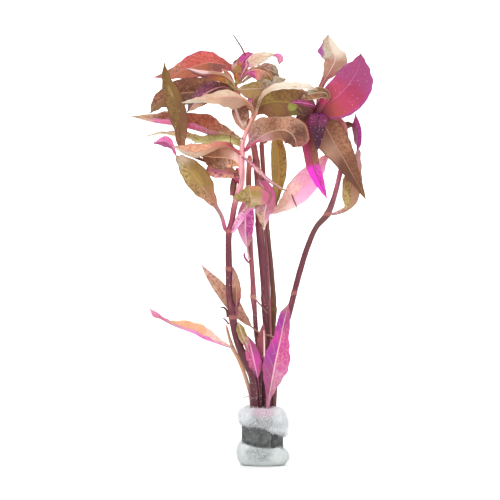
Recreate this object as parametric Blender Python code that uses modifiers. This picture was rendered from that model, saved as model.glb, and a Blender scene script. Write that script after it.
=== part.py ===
"""Bunch of cut red-leaved aquarium stems in a pinched floss holder with a wrapped metal strip.

Lengths in the tables are millimetres and angles are degrees. The origin is the centre of
the holder's flat foot, +Z is up the stems and -Y is the side that the leaves mostly face.
"""

import math

import bmesh
import bpy
from mathutils import Vector

MM = 0.001
GAP = 0.3

# holder
BULGE_RADIUS = 12.7
WAIST_RADIUS = 8.6
FOOT_RADIUS = 10.2
POCKET_RADIUS = 7.6
POCKET_FLOOR = 22.0
PLUG_TOP = 29.6
PLUG_STEPS = 26
WELD = 0.00005

# wrapped strip
STRIP_THICKNESS = 0.8
STRIP_HEIGHT = 8.0
STRIP_MIDDLE = 13.9
STRIP_OUTER_END = -68.0
STRIP_TURN = 414.0
STRIP_RADIUS = 9.3
STRIP_PITCH = 1.15
STRIP_CLIMB = 2.2
STRIP_LEAN = 0.09
STRIP_SEGMENTS = 40

# leaves and stems
LEAF_THICKNESS = 0.5
STALK_HALF_WIDTH = 0.6
TIP_HALF_WIDTH = 0.15
RIB_SOFTNESS = 0.2
RIPPLE_GROWTH = 4.0
TANGENT_STEP = 0.02
STEM_FOOT = POCKET_FLOOR + 1.4 * GAP
STEM_STEP = 8.0

COLOURS = {
    "floss_white": ((0.78, 0.80, 0.78), 0.9, 0.0),
    "strip_grey": ((0.16, 0.16, 0.165), 0.55, 0.8),
    "stem_plum": ((0.20, 0.065, 0.085), 0.5, 0.0),
    "stem_pale": ((0.32, 0.12, 0.13), 0.5, 0.0),
    "leaf_orange": ((0.50, 0.16, 0.09), 0.5, 0.0),
    "leaf_brown": ((0.30, 0.12, 0.07), 0.5, 0.0),
    "leaf_olive": ((0.32, 0.19, 0.075), 0.5, 0.0),
    "leaf_green": ((0.38, 0.36, 0.11), 0.5, 0.0),
    "leaf_cream": ((0.72, 0.60, 0.42), 0.5, 0.0),
    "leaf_rose": ((0.66, 0.19, 0.32), 0.5, 0.0),
    "leaf_pale_pink": ((0.84, 0.46, 0.50), 0.5, 0.0),
    "leaf_magenta": ((0.52, 0.045, 0.24), 0.5, 0.0),
    "leaf_plum": ((0.12, 0.022, 0.06), 0.5, 0.0),
}

# stems: points from the holder upwards as (x, y, z, radius)
STEMS = {
    "stem_left": (
        "stem_plum",
        [
            (-4.6, -2.6, STEM_FOOT, 1.3),
            (-5.0, -3.0, 30.0, 1.35),
            (-6.5, -3.6, 40.0, 1.4),
            (-10.0, -4.6, 55.0, 1.45),
            (-13.5, -5.0, 65.0, 1.45),
            (-15.6, -5.2, 74.0, 1.55),
            (-16.6, -5.4, 85.0, 1.45),
            (-17.0, -5.6, 98.0, 1.45),
            (-16.9, -5.8, 112.0, 1.5),
            (-16.7, -5.9, 117.0, 1.75),
            (-15.6, -6.2, 122.0, 1.3),
            (-14.3, -6.5, 130.0, 1.25),
            (-11.2, -6.9, 141.0, 1.4),
            (-11.0, -7.0, 150.0, 1.35),
            (-10.8, -7.0, 156.0, 1.6),
            (-10.0, -7.0, 161.0, 1.1),
            (-8.4, -7.0, 166.0, 1.1),
            (-6.0, -7.0, 171.0, 1.1),
            (-4.6, -7.0, 176.0, 1.3),
        ],
    ),
    "stem_left_thin": (
        "stem_plum",
        [
            (-6.4, 1.2, STEM_FOOT, 0.8),
            (-6.6, 0.8, 34.0, 0.8),
            (-8.4, 0.2, 41.0, 0.75),
            (-11.0, -0.4, 48.0, 0.75),
            (-13.6, -0.8, 54.0, 0.75),
            (-15.6, -1.2, 58.0, 1.0),
            (-17.2, -1.4, 64.0, 0.7),
            (-18.4, -1.4, 70.0, 0.6),
        ],
    ),
    "stem_front": (
        "stem_plum",
        [
            (-1.4, -0.8, STEM_FOOT, 1.25),
            (-1.5, -0.8, 38.0, 1.25),
            (-1.6, -0.4, 52.0, 1.25),
            (-3.4, 0.2, 66.0, 1.2),
            (-4.2, 0.2, 77.5, 1.2),
            (-4.8, 0.0, 84.0, 1.6),
            (-5.1, 0.0, 92.0, 1.25),
            (-5.8, 0.0, 102.0, 1.25),
            (-6.5, 0.4, 112.5, 1.4),
            (-6.6, 1.4, 128.0, 1.1),
            (-7.2, 2.4, 142.0, 1.0),
            (-6.6, 3.4, 155.0, 1.0),
        ],
    ),
    "stem_middle": (
        "stem_plum",
        [
            (0.4, 3.2, STEM_FOOT, 1.5),
            (0.3, 2.6, 38.0, 1.55),
            (0.8, 2.0, 50.0, 1.55),
            (1.7, 1.5, 64.0, 1.6),
            (1.4, 1.5, 74.0, 1.6),
            (1.0, 1.5, 83.5, 1.9),
            (0.6, 1.6, 90.0, 1.6),
            (-0.6, 2.0, 104.0, 1.55),
            (-2.0, 2.6, 120.0, 1.5),
            (-2.2, 4.0, 138.0, 1.4),
            (-3.4, 4.6, 152.0, 1.3),
            (-6.0, 4.2, 166.0, 1.2),
            (-9.6, 2.6, 178.0, 1.2),
            (-13.2, 0.6, 187.0, 1.4),
            (-13.5, 0.4, 190.4, 0.9),
        ],
    ),
    "stem_middle_thin": (
        "stem_plum",
        [
            (3.2, -3.2, STEM_FOOT, 0.7),
            (2.8, -2.0, 34.0, 0.7),
            (3.6, 0.8, 46.0, 0.7),
            (4.0, 3.0, 56.0, 0.7),
            (3.6, 3.9, 64.5, 0.9),
            (3.3, 4.2, 76.0, 0.65),
            (2.8, 4.4, 92.0, 0.65),
            (2.0, 4.8, 106.0, 0.6),
            (0.8, 5.4, 118.0, 0.55),
        ],
    ),
    "stem_back": (
        "stem_pale",
        [
            (3.6, 4.4, STEM_FOOT, 1.25),
            (3.6, 5.2, 38.0, 1.25),
            (4.4, 6.0, 56.0, 1.25),
            (5.2, 6.6, 70.0, 1.3),
            (5.4, 6.8, 77.5, 1.65),
            (5.0, 6.9, 88.0, 1.3),
            (4.0, 7.0, 100.0, 1.25),
            (2.4, 7.0, 116.0, 1.25),
            (1.0, 7.0, 134.0, 1.2),
            (0.0, 6.8, 150.0, 1.15),
            (-0.8, 6.4, 162.0, 1.3),
        ],
    ),
    "stem_right": (
        "stem_plum",
        [
            (5.3, 0.6, STEM_FOOT, 1.3),
            (5.6, 0.4, 34.0, 1.35),
            (7.0, 0.2, 48.0, 1.35),
            (9.8, 0.0, 64.0, 1.35),
            (13.2, 0.0, 77.0, 1.4),
            (15.4, 0.2, 86.0, 1.4),
            (18.3, 0.4, 97.0, 1.35),
            (21.9, 0.6, 108.5, 1.35),
            (26.4, 0.8, 118.5, 1.35),
            (32.2, 0.8, 125.5, 1.7),
            (35.6, 1.4, 134.0, 1.3),
            (38.4, 2.4, 145.0, 1.25),
            (41.0, 3.4, 158.0, 1.2),
            (41.6, 3.8, 166.0, 1.15),
            (39.4, 3.8, 172.0, 1.15),
            (33.0, 2.6, 175.6, 1.15),
            (27.6, 1.2, 178.0, 1.4),
        ],
    ),
}


class Leaf:
    """One leaf: its midrib from the stem to the tip, its width, and how its face turns.

    A roll of 0 faces the upper side to -Y and 180 shows the underside. The rolls are
    spread evenly along the midrib. The fold lifts both halves towards the upper side.
    """

    def __init__(self, name, colour, half_width, midrib, rolls, fold=15.0, **more):
        self.name = name
        self.colour = colour
        self.half_width = half_width
        self.midrib = midrib
        self.rolls = rolls
        self.fold = fold
        self.stalk = more.get("stalk", 0.15)
        self.peak = more.get("peak", 0.42)
        self.point = more.get("point", 1.0)
        self.wave = more.get("wave", 0.0)
        self.waves = more.get("waves", 1.5)
        self.across = more.get("across", 4)
        self.along = more.get("along", 8)
        self.widths = more.get("widths")


LEFT_CROWN = [
    Leaf("leaf_left_top", "leaf_orange", 7.2,
         [(-15.4, 1.7, 196), (-22, 4, 199.4), (-29.5, 7.4, 200.2), (-38, 8.6, 197.6), (-47, 8.6, 195),
          (-55, 7.6, 193.3)],
         (15, 10, 10, 10), 12, stalk=0.05, peak=0.37, point=1.6),
    Leaf("leaf_left_top_folded", "leaf_rose", 4.5,
         [(-15.5, -1.4, 189.0), (-18, -3, 193), (-23, -5, 196), (-31.5, -6.5, 197), (-38, -7, 198.4)],
         (70, 75, 80, 75), 20, stalk=0.12, along=7),
    Leaf("leaf_left_brown", "leaf_brown", 6.5,
         [(-15.4, 1.2, 187.4), (-24, 3, 187.4), (-32, 3.8, 186.6), (-42, 4.2, 186), (-51, 4, 182.5),
          (-56, 3.4, 176.2)],
         (15, 10, 5, 20), 12, stalk=0.1),
    Leaf("leaf_left_purple", "leaf_plum", 4.6,
         [(-15.2, -0.6, 185.6), (-20, -1, 185), (-27, -1.6, 182.6), (-33.5, -1.8, 179.6), (-38.5, -2, 176)],
         (190, 190, 185, 180), 12, along=6),
    Leaf("leaf_left_hanging", "leaf_olive", 4.6,
         [(-12.9, -5.0, 146), (-22, -3, 149.6), (-32, -3.6, 153.2), (-38.4, -4.4, 156.6), (-41, -5, 161.3),
          (-41.2, -5.4, 167.5), (-41.8, -5.8, 173.8), (-42.8, -5.8, 180), (-44.8, -5.6, 185),
          (-46.5, -5.4, 191.3),
          (-48.1, -4.8, 196.9), (-49.6, -4, 201.9)],
         (20, 10, 5, 15, 25), 12, along=10,
         widths=(0.6, 0.6, 0.6, 0.9, 2.6, 3.5, 4.3, 4.6, 3.4, 1.7, 0.2)),
    Leaf("leaf_left_long", "leaf_orange", 9.2,
         [(-11.4, -5.0, 163.5), (-17, -2.6, 165.4), (-25, 1.6, 166.4), (-35.5, 5, 168.2), (-47, 6, 170),
          (-57, 5.4, 172), (-65.5, 4.2, 174.6)],
         (52, 54, 55, 60), 38, stalk=0.08, peak=0.38, point=1.1),
    Leaf("leaf_left_narrow", "leaf_green", 5.0,
         [(-12.9, -6.2, 159.2), (-20, -4.2, 161.6), (-29, -0.4, 162.4), (-37, 2, 163.4), (-46, 2.8, 166),
          (-53, 2.6, 166), (-58, 2.2, 164.6)],
         (55, 58, 66, 78), 26, stalk=0.12, peak=0.36),
    Leaf("leaf_left_wavy", "leaf_orange", 6.8,
         [(-12.9, -8.0, 155.4), (-15.6, -9.8, 157.6), (-21, -11.4, 158.4), (-28, -11.8, 156.4),
          (-34.5, -11.4, 154.6),
          (-40, -11, 156.4), (-45, -10.4, 159)],
         (100, 80, 62, 66), 34, stalk=0.2, peak=0.52, wave=0.6),
    Leaf("leaf_left_red", "leaf_brown", 5.6,
         [(-13.2, -7.8, 150.6), (-17, -8.4, 152), (-24.6, -8.2, 153.6), (-32.4, -7.6, 155)],
         (20, 15, 10), 14, stalk=0.08, peak=0.4, along=6),
    Leaf("leaf_left_fold", "leaf_rose", 6.4,
         [(-13.4, -7.9, 142.6), (-16.4, -8, 142.6), (-21.4, -7.6, 145), (-26, -7, 148.6),
          (-29, -6.8, 152.4)],
         (56, 54, 50), 34, stalk=0.08, along=6),
    Leaf("leaf_left_olive", "leaf_olive", 6.6,
         [(-18.9, -6.6, 117.6), (-20.8, -8, 124.5), (-25, -9.4, 131.5), (-29.4, -10.2, 138),
          (-33.8, -10.4, 144),
          (-38.8, -10, 150), (-43.2, -9.4, 154.4), (-45.2, -8.8, 158.4), (-48.6, -8.6, 161.4),
          (-54.5, -8.8, 160.6)],
         (15, 10, 5, 5, 10, 10, 15, 20, 150, 180, 180), 16, along=13,
         widths=(0.6, 0.6, 0.8, 3.2, 5.8, 6.6, 5.8, 2.8, 0.5, 2.2, 0.4)),
]

FRONT_CROWN = [
    Leaf("leaf_front_green", "leaf_green", 9.2,
         [(-14.4, -7.4, 117.6), (-11.6, -9, 123.6), (-8.2, -11, 128), (-6.8, -13.6, 130),
          (-6.4, -17, 133.2),
          (-6.8, -20, 136.8), (-7.4, -21.4, 139.2)],
         (0, 0, 0), 8, along=10,
         widths=(0.6, 0.6, 0.7, 0.8, 1.2, 5.0, 9.2, 9.8, 8.6, 5.6, 0.6)),
    Leaf("leaf_front_cream", "leaf_cream", 3.6,
         [(-6.4, -7.8, 176.0), (-8.8, -9.6, 179), (-12.6, -10.4, 181.6), (-21.5, -10, 182.6),
          (-33, -9, 182),
          (-41, -8.6, 181.2)],
         (45, 42, 40, 38), 20, stalk=0.12, peak=0.5, along=7),
    Leaf("leaf_front_tan", "leaf_cream", 4.0,
         [(-10.2, -5.6, 167.6), (-12.4, -5.4, 170.6), (-13.8, -5.4, 174), (-14.8, -5.6, 178),
          (-15.4, -6, 181)],
         (-15, -20, -25), 20, stalk=0.12, along=6, across=2),
    Leaf("leaf_front_bud", "leaf_rose", 1.7,
         [(-5.3, -6.6, 177.6), (-5.9, -6, 180.6), (-6.7, -5.8, 183.6), (-7.6, -5.6, 186.4)],
         (10, 10), 20, stalk=0.05, along=5, across=2),
    Leaf("leaf_front_olive", "leaf_olive", 9.2,
         [(-2.6, -7.0, 175.6), (-1.2, -7.4, 178.8), (2, -8, 181.2), (7.2, -8.2, 181), (12.8, -7.8, 179),
          (18.4, -7, 176.4)],
         (-4, 0, 0, 0), 10, stalk=0.06, peak=0.42),
    Leaf("leaf_front_brown", "leaf_brown", 6.4,
         [(-8.5, -8.4, 157.6), (-6, -9.4, 160.4), (-1.6, -9.8, 164.2), (4, -9.8, 166), (10, -9.2, 164.8),
          (14.6, -8.2, 161), (17.4, -7.4, 157.6)],
         (-35, -30, -25, -20), 18, stalk=0.2, peak=0.55, wave=0.5),
    Leaf("leaf_front_strap", "leaf_rose", 2.6,
         [(-9.6, -8.9, 153.8), (-5.6, -10.8, 150.4), (-1.4, -11.4, 146), (4, -11.4, 141.4),
          (11, -10.6, 137)],
         (-50, -55, -60), 16, stalk=0.1, peak=0.5, along=6, across=2),
    Leaf("leaf_center_olive", "leaf_olive", 3.8,
         [(1.2, 5.4, 161.4), (4, 3.4, 164.4), (6.6, 1.6, 162.4), (7.8, 0.6, 156), (8, 0.2, 147),
          (7.4, 0, 138),
          (6.4, 0, 129.4)],
         (10, 5, 0, -10), 14, along=7, across=2,
         widths=(0.6, 0.9, 3.3, 3.8, 3.8, 3.4, 0.3)),
    Leaf("leaf_center_rose", "leaf_rose", 5.2,
         [(0.4, 0.6, 118.8), (0.4, -2.6, 124), (0.8, -4.8, 130), (0.4, -5.6, 137), (-1.4, -5.8, 144)],
         (190, 195, 200), 16, stalk=0.12, peak=0.5, along=7),
    Leaf("leaf_center_magenta", "leaf_magenta", 4.6,
         [(-7.2, -1.8, 103.0), (-8, -3, 110), (-8.8, -4, 118), (-8.6, -4.6, 125), (-7.6, -4.6, 131),
          (-6.4, -4.2, 137)],
         (170, 175, 185), 26, stalk=0.15, peak=0.48, along=7),
    Leaf("leaf_center_pale_pink", "leaf_pale_pink", 6.6,
         [(4.2, 6.0, 126.4), (7, 5, 127.6), (12, 3.6, 131), (18, 2.6, 137), (25, 2.2, 145.4),
          (33, 2.4, 156)],
         (-20, -15, -10, -15), 12, stalk=0.1, peak=0.5),
]

CROWN_TIP = [
    Leaf("leaf_crown_grey_green", "leaf_green", 5.4,
         [(-11.2, -0.4, 186.2), (-8, 0, 187.2), (-0.5, 0.6, 187.2), (6.5, 1, 188.6), (13.5, 1, 190.6)],
         (-45, -45, -40), 30, stalk=0.1, along=7),
    Leaf("leaf_crown_top_cream", "leaf_cream", 3.6,
         [(-11.7, 2.2, 191.6), (-9.4, 1.2, 198.4), (-4, 0, 202), (2, -1, 203.6), (7.4, -1.8, 204),
          (9.6, -2.2, 200.6)],
         (-40, -45, -60, -120), 22, stalk=0.15, along=7),
    Leaf("leaf_crown_magenta", "leaf_magenta", 3.8,
         [(-13.0, 3.0, 190.4), (-11.4, 4.4, 197), (-9.4, 5.2, 202.6), (-7, 5.6, 207)],
         (180, 185, 190), 14, stalk=0.12, peak=0.6, along=5, across=2),
    Leaf("leaf_crown_tan", "leaf_cream", 2.2,
         [(-14.2, 0.6, 192.2), (-14.8, 0.8, 196), (-14.4, 0.6, 200.4), (-13.4, 0, 204.6)],
         (20, 10), 18, stalk=0.1, along=5, across=2),
    Leaf("leaf_crown_orange", "leaf_orange", 2.2,
         [(-13.5, -1.2, 190.8), (-13.3, -3.2, 193.4), (-12.4, -4.4, 197.4), (-11.7, -4.8, 201.6)],
         (10, -10), 18, stalk=0.1, along=5, across=2),
    Leaf("leaf_crown_pink", "leaf_rose", 1.6,
         [(-12.3, 0.2, 192.0), (-10.6, -0.4, 196), (-9, -1, 199.4), (-7.6, -1.6, 202)],
         (-20, -30), 16, stalk=0.1, along=5, across=2),
    Leaf("leaf_crown_arching", "leaf_magenta", 4.6,
         [(-11.4, -1.6, 189.0), (-9, -4.2, 194.4), (-4, -5.8, 197), (1, -6.2, 195.8), (4.8, -6.2, 192.6)],
         (-120, -130, -135), 8, stalk=0.2, along=7),
    Leaf("leaf_crown_brown_tip", "leaf_brown", 3.0,
         [(-11.2, 2.4, 187.6), (-7, 3.2, 194), (-1, 3.4, 197.2), (4, 3.2, 197), (8, 2.8, 193)],
         (-30, -25, -20), 16, stalk=0.2, along=6, across=2),
    Leaf("leaf_crown_stalk_left", "leaf_cream", 1.7,
         [(-15.2, -1.0, 191.4), (-17, -1.4, 194.8), (-19, -1.2, 197), (-21, -1, 199.6)],
         (60, 50), 18, stalk=0.1, along=5, across=2),
]

RIGHT_CROWN = [
    Leaf("leaf_right_top_magenta", "leaf_magenta", 10.2,
         [(28.8, -1.1, 177.4), (32, -2.6, 178), (38, -3.8, 181), (44, -4.6, 187), (47.8, -4.8, 195.4),
          (48.6, -4.4, 205.6)],
         (165, 170, 172, 178), 10, stalk=0.06, peak=0.45),
    Leaf("leaf_right_top_cream", "leaf_cream", 6.4,
         [(28.4, 2.9, 179.6), (30.2, 2.8, 187), (33.2, 2.6, 194.6), (35.8, 1.8, 201.6), (35.4, 0.8, 208.4),
          (32.4, -0.4, 215.4)],
         (-10, -15, 0, 25), 16, stalk=0.25, peak=0.5),
    Leaf("leaf_right_curl", "leaf_cream", 3.2,
         [(27.8, -1.6, 180.2), (28.8, -3.4, 184), (29.8, -5.6, 187.4), (27.6, -7.4, 189.2),
          (23.8, -8.4, 188)],
         (0, 20, 30), 18, stalk=0.15, along=6, across=2),
    Leaf("leaf_right_cream", "leaf_cream", 4.0,
         [(26.0, 0.4, 180.0), (24.6, -0.6, 184), (20, -1.4, 187.4), (12.6, -1.2, 190.6)],
         (60, 58, 55), 30, stalk=0.15, along=6),
    Leaf("leaf_right_bud", "leaf_magenta", 1.5,
         [(25.2, -0.2, 178.4), (23.4, -5, 179.4), (18.6, -9.8, 180.8), (12, -11.2, 181.6)],
         (40, 45), 24, stalk=0.2, along=5, across=2),
    Leaf("leaf_right_dark", "leaf_plum", 4.6,
         [(25.6, 0.6, 176.0), (22.4, -1.4, 174.4), (18.6, -2.6, 174), (14.6, -3, 175)],
         (150, 155, 160), 14, stalk=0.08, along=6),
    Leaf("leaf_right_speckled", "leaf_plum", 4.8,
         [(27.6, -1.6, 175.8), (27.8, -4.8, 172.4), (27.6, -7, 166), (26.6, -8, 157.5)],
         (5, 0, -5), 14, stalk=0.06, peak=0.36, along=6),
    Leaf("leaf_right_neon", "leaf_magenta", 5.0,
         [(25.4, -1.6, 174.8), (24.4, -2.8, 170), (24, -3.8, 163), (24.2, -5, 155), (25.2, -5.8, 149),
          (27.8, -5.8, 141),
          (32.2, -5.2, 133.4)],
         (10, 5, 20, 130, 170, 180), 14, along=10,
         widths=(0.6, 2.4, 4.6, 5.2, 4.4, 3.4, 4.4, 3.4, 0.3)),
    Leaf("leaf_right_brown", "leaf_brown", 7.2,
         [(29.2, 0.0, 175.6), (32, -1, 168.6), (36.4, -2, 159.6), (42.4, -2.6, 149),
          (47.6, -2.6, 140), (51.6, -2.4, 132.7)],
         (-15, -10, -10, -15), 14, stalk=0.1, peak=0.42),
    Leaf("leaf_right_olive", "leaf_olive", 4.4,
         [(34.7, 0.6, 125.4), (38, 1.2, 126.2), (42, 2, 128), (44.2, 2.4, 133), (45, 2.6, 141),
          (46.6, 3, 152),
          (47.4, 3.2, 163), (46.4, 3.4, 176)],
         (0, 5, 15, 60, 130, 150), 16, along=11,
         widths=(0.6, 0.8, 3.6, 4.6, 4.0, 3.2, 3.0, 2.4, 0.2)),
    Leaf("leaf_right_small_green", "leaf_green", 2.8,
         [(29.4, 4.2, 177.8), (32, 6.6, 173.6), (38, 8.2, 171), (46, 8.6, 170.2)],
         (-60, -60, -55), 24, stalk=0.15, along=6, across=2),
]

LOW_LEAVES = [
    Leaf("leaf_low_left_narrow", "leaf_orange", 5.6,
         [(-17.6, -2.4, 57.8), (-22.8, -3.2, 60.8), (-30.2, -4.4, 64.2), (-37.8, -5, 67.6),
          (-42.8, -5, 69.4),
          (-48, -4.8, 72.2), (-52.1, -4.4, 74.4), (-57.2, -4, 78.8)],
         (50, 50, 50, 50, 50, 52, 56, 80, 130, 170, 175), 28, along=11,
         widths=(0.6, 0.8, 3.4, 5.2, 5.6, 5.3, 4.3, 2.2, 0.9, 2.0, 0.3)),
    Leaf("leaf_low_rosy", "leaf_rose", 3.8,
         [(5.3, 2.6, 63.4), (4.9, 0.4, 63.8), (2.8, -1.6, 64.8), (-1, -2.4, 65.8), (-5, -2.6, 68.5),
          (-10, -2, 74.5),
          (-16, -1.4, 82.5), (-22, -1.2, 90), (-27.5, -1.2, 96.5), (-30.7, -1.2, 100.5)],
         (60, 40, 15, 15, 15), 14, stalk=0.28, peak=0.42, along=10),
    Leaf("leaf_low_salmon", "leaf_rose", 2.4,
         [(-13.2, -6.2, 75.4), (-13.2, -6.4, 80), (-13.2, -6.6, 86.5), (-13.9, -6.6, 93.5),
          (-15, -6.8, 99.5)],
         (10, 15, 10), 16, stalk=0.12, along=6, across=2),
    Leaf("leaf_low_green", "leaf_green", 2.3,
         [(-9.4, -7.0, 53.4), (-9.6, -9, 57.4), (-10.8, -9.8, 63), (-11.6, -9.8, 68), (-12.3, -9.4, 72.2)],
         (10, 5), 16, stalk=0.1, along=5, across=2),
    Leaf("leaf_low_magenta", "leaf_magenta", 3.8,
         [(-1.6, -3.0, 33.5), (-2.4, -4.6, 42), (-4, -7, 50), (-5.8, -7.8, 58), (-7.5, -7.8, 64.8)],
         (175, 180, 185), 18, stalk=0.3, peak=0.5, along=7),
    Leaf("leaf_low_plum", "leaf_plum", 2.5,
         [(-1.2, -2.6, 48), (-1, -4, 53), (-0.8, -4.8, 59), (-0.4, -5, 65), (0.2, -5, 71.4)],
         (180, 175), 16, stalk=0.2, along=5, across=2),
    Leaf("leaf_low_large_pink", "leaf_magenta", 6.9,
         [(1.2, -5.4, 25), (1.8, -6.4, 32), (4.8, -8, 45), (7.8, -8.6, 59), (10.6, -8.4, 72.5),
          (13.2, -7.4, 81.4)],
         (-24, -22, -20, -20), 16, stalk=0.1, peak=0.42),
]

LEAVES = LEFT_CROWN + FRONT_CROWN + CROWN_TIP + RIGHT_CROWN + LOW_LEAVES


def clear_scene():
    for old in list(bpy.data.objects):
        bpy.data.objects.remove(old, do_unlink=True)


def material(name):
    """The material of this name, made at its first use."""
    if name in bpy.data.materials:
        return bpy.data.materials[name]
    colour, roughness, metallic = COLOURS[name]
    made = bpy.data.materials.new(name)
    made.use_nodes = True
    shader = made.node_tree.nodes["Principled BSDF"]
    shader.inputs["Base Color"].default_value = (*colour, 1.0)
    shader.inputs["Roughness"].default_value = roughness
    shader.inputs["Metallic"].default_value = metallic
    return made


def place(name, data, colour, home):
    """Puts the data in the scene as one named piece."""
    piece = bpy.data.objects.new(name, data)
    data.materials.append(material(colour))
    home.objects.link(piece)
    return piece


def on_path(points, share):
    """The point at this share of a smooth path's length through the points."""
    points = [Vector(p) for p in points]
    steps = [(b - a).length for a, b in zip(points, points[1:])]
    goal = share * sum(steps)
    index = 0
    while index < len(steps) - 1 and goal > steps[index]:
        goal -= steps[index]
        index += 1
    local = min(goal / steps[index], 1.0)
    a = points[index]
    b = points[index + 1]
    before = points[index - 1] if index else a * 2.0 - b
    after = points[index + 2] if index + 2 < len(points) else b * 2.0 - a
    return 0.5 * (
        2.0 * a
        + (b - before) * local
        + (2.0 * before - 5.0 * a + 4.0 * b - after) * local**2
        + (3.0 * a - before - 3.0 * b + after) * local**3
    )


def even_value(values, share):
    """A value read from evenly spread ones, eased from each to the next."""
    place_of = share * (len(values) - 1)
    index = min(int(place_of), len(values) - 2)
    local = place_of - index
    eased = local * local * (3.0 - 2.0 * local)
    return values[index] + (values[index + 1] - values[index]) * eased


def half_width_at(leaf, share):
    """The leaf's half width at this share of its length: a stalk, then a blade that swells and tapers."""
    if leaf.widths:
        return even_value(leaf.widths, share)
    stalk = max(STALK_HALF_WIDTH * (1.0 - share), TIP_HALF_WIDTH)
    if share <= leaf.stalk:
        return stalk
    along = (share - leaf.stalk) / (1.0 - leaf.stalk)
    swell = leaf.point * leaf.peak / (1.0 - leaf.peak)
    top = leaf.peak**swell * (1.0 - leaf.peak) ** leaf.point
    blade = leaf.half_width * along**swell * (1.0 - along) ** leaf.point / top
    return max(stalk, blade)


def leaf_point(leaf, side, share):
    """A point of the leaf, where side runs from -1 to 1 across it and share from the stem to the tip."""
    centre = on_path(leaf.midrib, share)
    ahead = on_path(leaf.midrib, min(share + TANGENT_STEP, 1.0))
    ahead -= on_path(leaf.midrib, max(share - TANGENT_STEP, 0.0))
    ahead.normalize()
    facing = Vector((0.0, -1.0, 0.0))
    facing = (facing - ahead * facing.dot(ahead)).normalized()
    up_side = ahead.cross(facing)
    roll = math.radians(even_value(leaf.rolls, share))
    normal = facing * math.cos(roll) + up_side * math.sin(roll)
    across = ahead.cross(normal)
    width = half_width_at(leaf, share)
    fold = math.radians(leaf.fold)
    lift = math.hypot(side, RIB_SOFTNESS) - RIB_SOFTNESS
    ripple = leaf.wave * side * abs(side) * math.sin(math.tau * leaf.waves * share)
    blade_share = max(share - leaf.stalk, 0.0)
    return (
        centre
        + across * (width * side * math.cos(fold))
        + normal * (width * lift * math.sin(fold) + ripple * min(blade_share * RIPPLE_GROWTH, 1.0))
    )


def make_leaf(leaf, home):
    """A grid laid along the midrib and thickened."""
    mesh = bpy.data.meshes.new(leaf.name)
    sheet = bmesh.new()
    bmesh.ops.create_grid(sheet, x_segments=leaf.across, y_segments=leaf.along, size=1.0)
    for vert in sheet.verts:
        vert.co = leaf_point(leaf, vert.co.x, (vert.co.y + 1.0) / 2.0) * MM
    sheet.to_mesh(mesh)
    sheet.free()
    mesh.shade_smooth()
    piece = place(leaf.name, mesh, leaf.colour, home)
    thick = piece.modifiers.new("thickness", "SOLIDIFY")
    thick.thickness = LEAF_THICKNESS * MM
    thick.offset = 0.0
    return piece


def make_stem(name, home):
    """A round stem along a smooth path, a little thicker at its nodes."""
    colour, points = STEMS[name]
    length = sum((Vector(b[:3]) - Vector(a[:3])).length for a, b in zip(points, points[1:]))
    count = max(int(length / STEM_STEP), len(points))
    curve = bpy.data.curves.new(name, "CURVE")
    curve.dimensions = "3D"
    curve.bevel_depth = MM
    curve.bevel_resolution = 2
    curve.use_fill_caps = True
    line = curve.splines.new("POLY")
    line.points.add(count)
    for index, point in enumerate(line.points):
        share = index / count
        x, y, z = on_path([p[:3] for p in points], share)
        point.co = (x * MM, y * MM, z * MM, 1.0)
        point.radius = radius_at(points, z)
    return place(name, curve, colour, home)


def radius_at(points, height):
    """The stem's radius at this height."""
    for low, high in zip(points, points[1:]):
        if low[2] <= height <= high[2]:
            return low[3] + (high[3] - low[3]) * (height - low[2]) / (high[2] - low[2])
    return points[-1][3] if height > points[-1][2] else points[0][3]


def make_plug(home):
    """The floss: two round bulges, a pinched waist, a flat foot and a pocket for the stems."""
    profile = [
        (0.0, POCKET_FLOOR),
        (POCKET_RADIUS, POCKET_FLOOR),
        (POCKET_RADIUS, PLUG_TOP - 1.4),
        (POCKET_RADIUS + 0.9, PLUG_TOP),
        (10.4, PLUG_TOP - 0.6),
        (12.1, PLUG_TOP - 3.0),
        (BULGE_RADIUS, PLUG_TOP - 5.8),
        (12.0, PLUG_TOP - 8.4),
        (10.4, PLUG_TOP - 9.6),
        (WAIST_RADIUS, PLUG_TOP - 10.0),
        (WAIST_RADIUS, 7.9),
        (10.8, 7.6),
        (12.3, 6.6),
        (BULGE_RADIUS, 4.6),
        (12.2, 1.8),
        (FOOT_RADIUS, 0.0),
        (0.0, 0.0),
    ]
    mesh = bpy.data.meshes.new("floss_plug")
    line = bmesh.new()
    corners = [line.verts.new((r * MM, 0.0, z * MM)) for r, z in profile]
    for a, b in zip(corners, corners[1:]):
        line.edges.new((a, b))
    line.to_mesh(mesh)
    line.free()
    piece = place("floss_plug", mesh, "floss_white", home)
    turn = piece.modifiers.new("turn", "SCREW")
    turn.steps = PLUG_STEPS
    turn.render_steps = PLUG_STEPS
    turn.use_merge_vertices = True
    turn.merge_threshold = WELD
    turn.use_smooth_shade = True
    return piece


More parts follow.
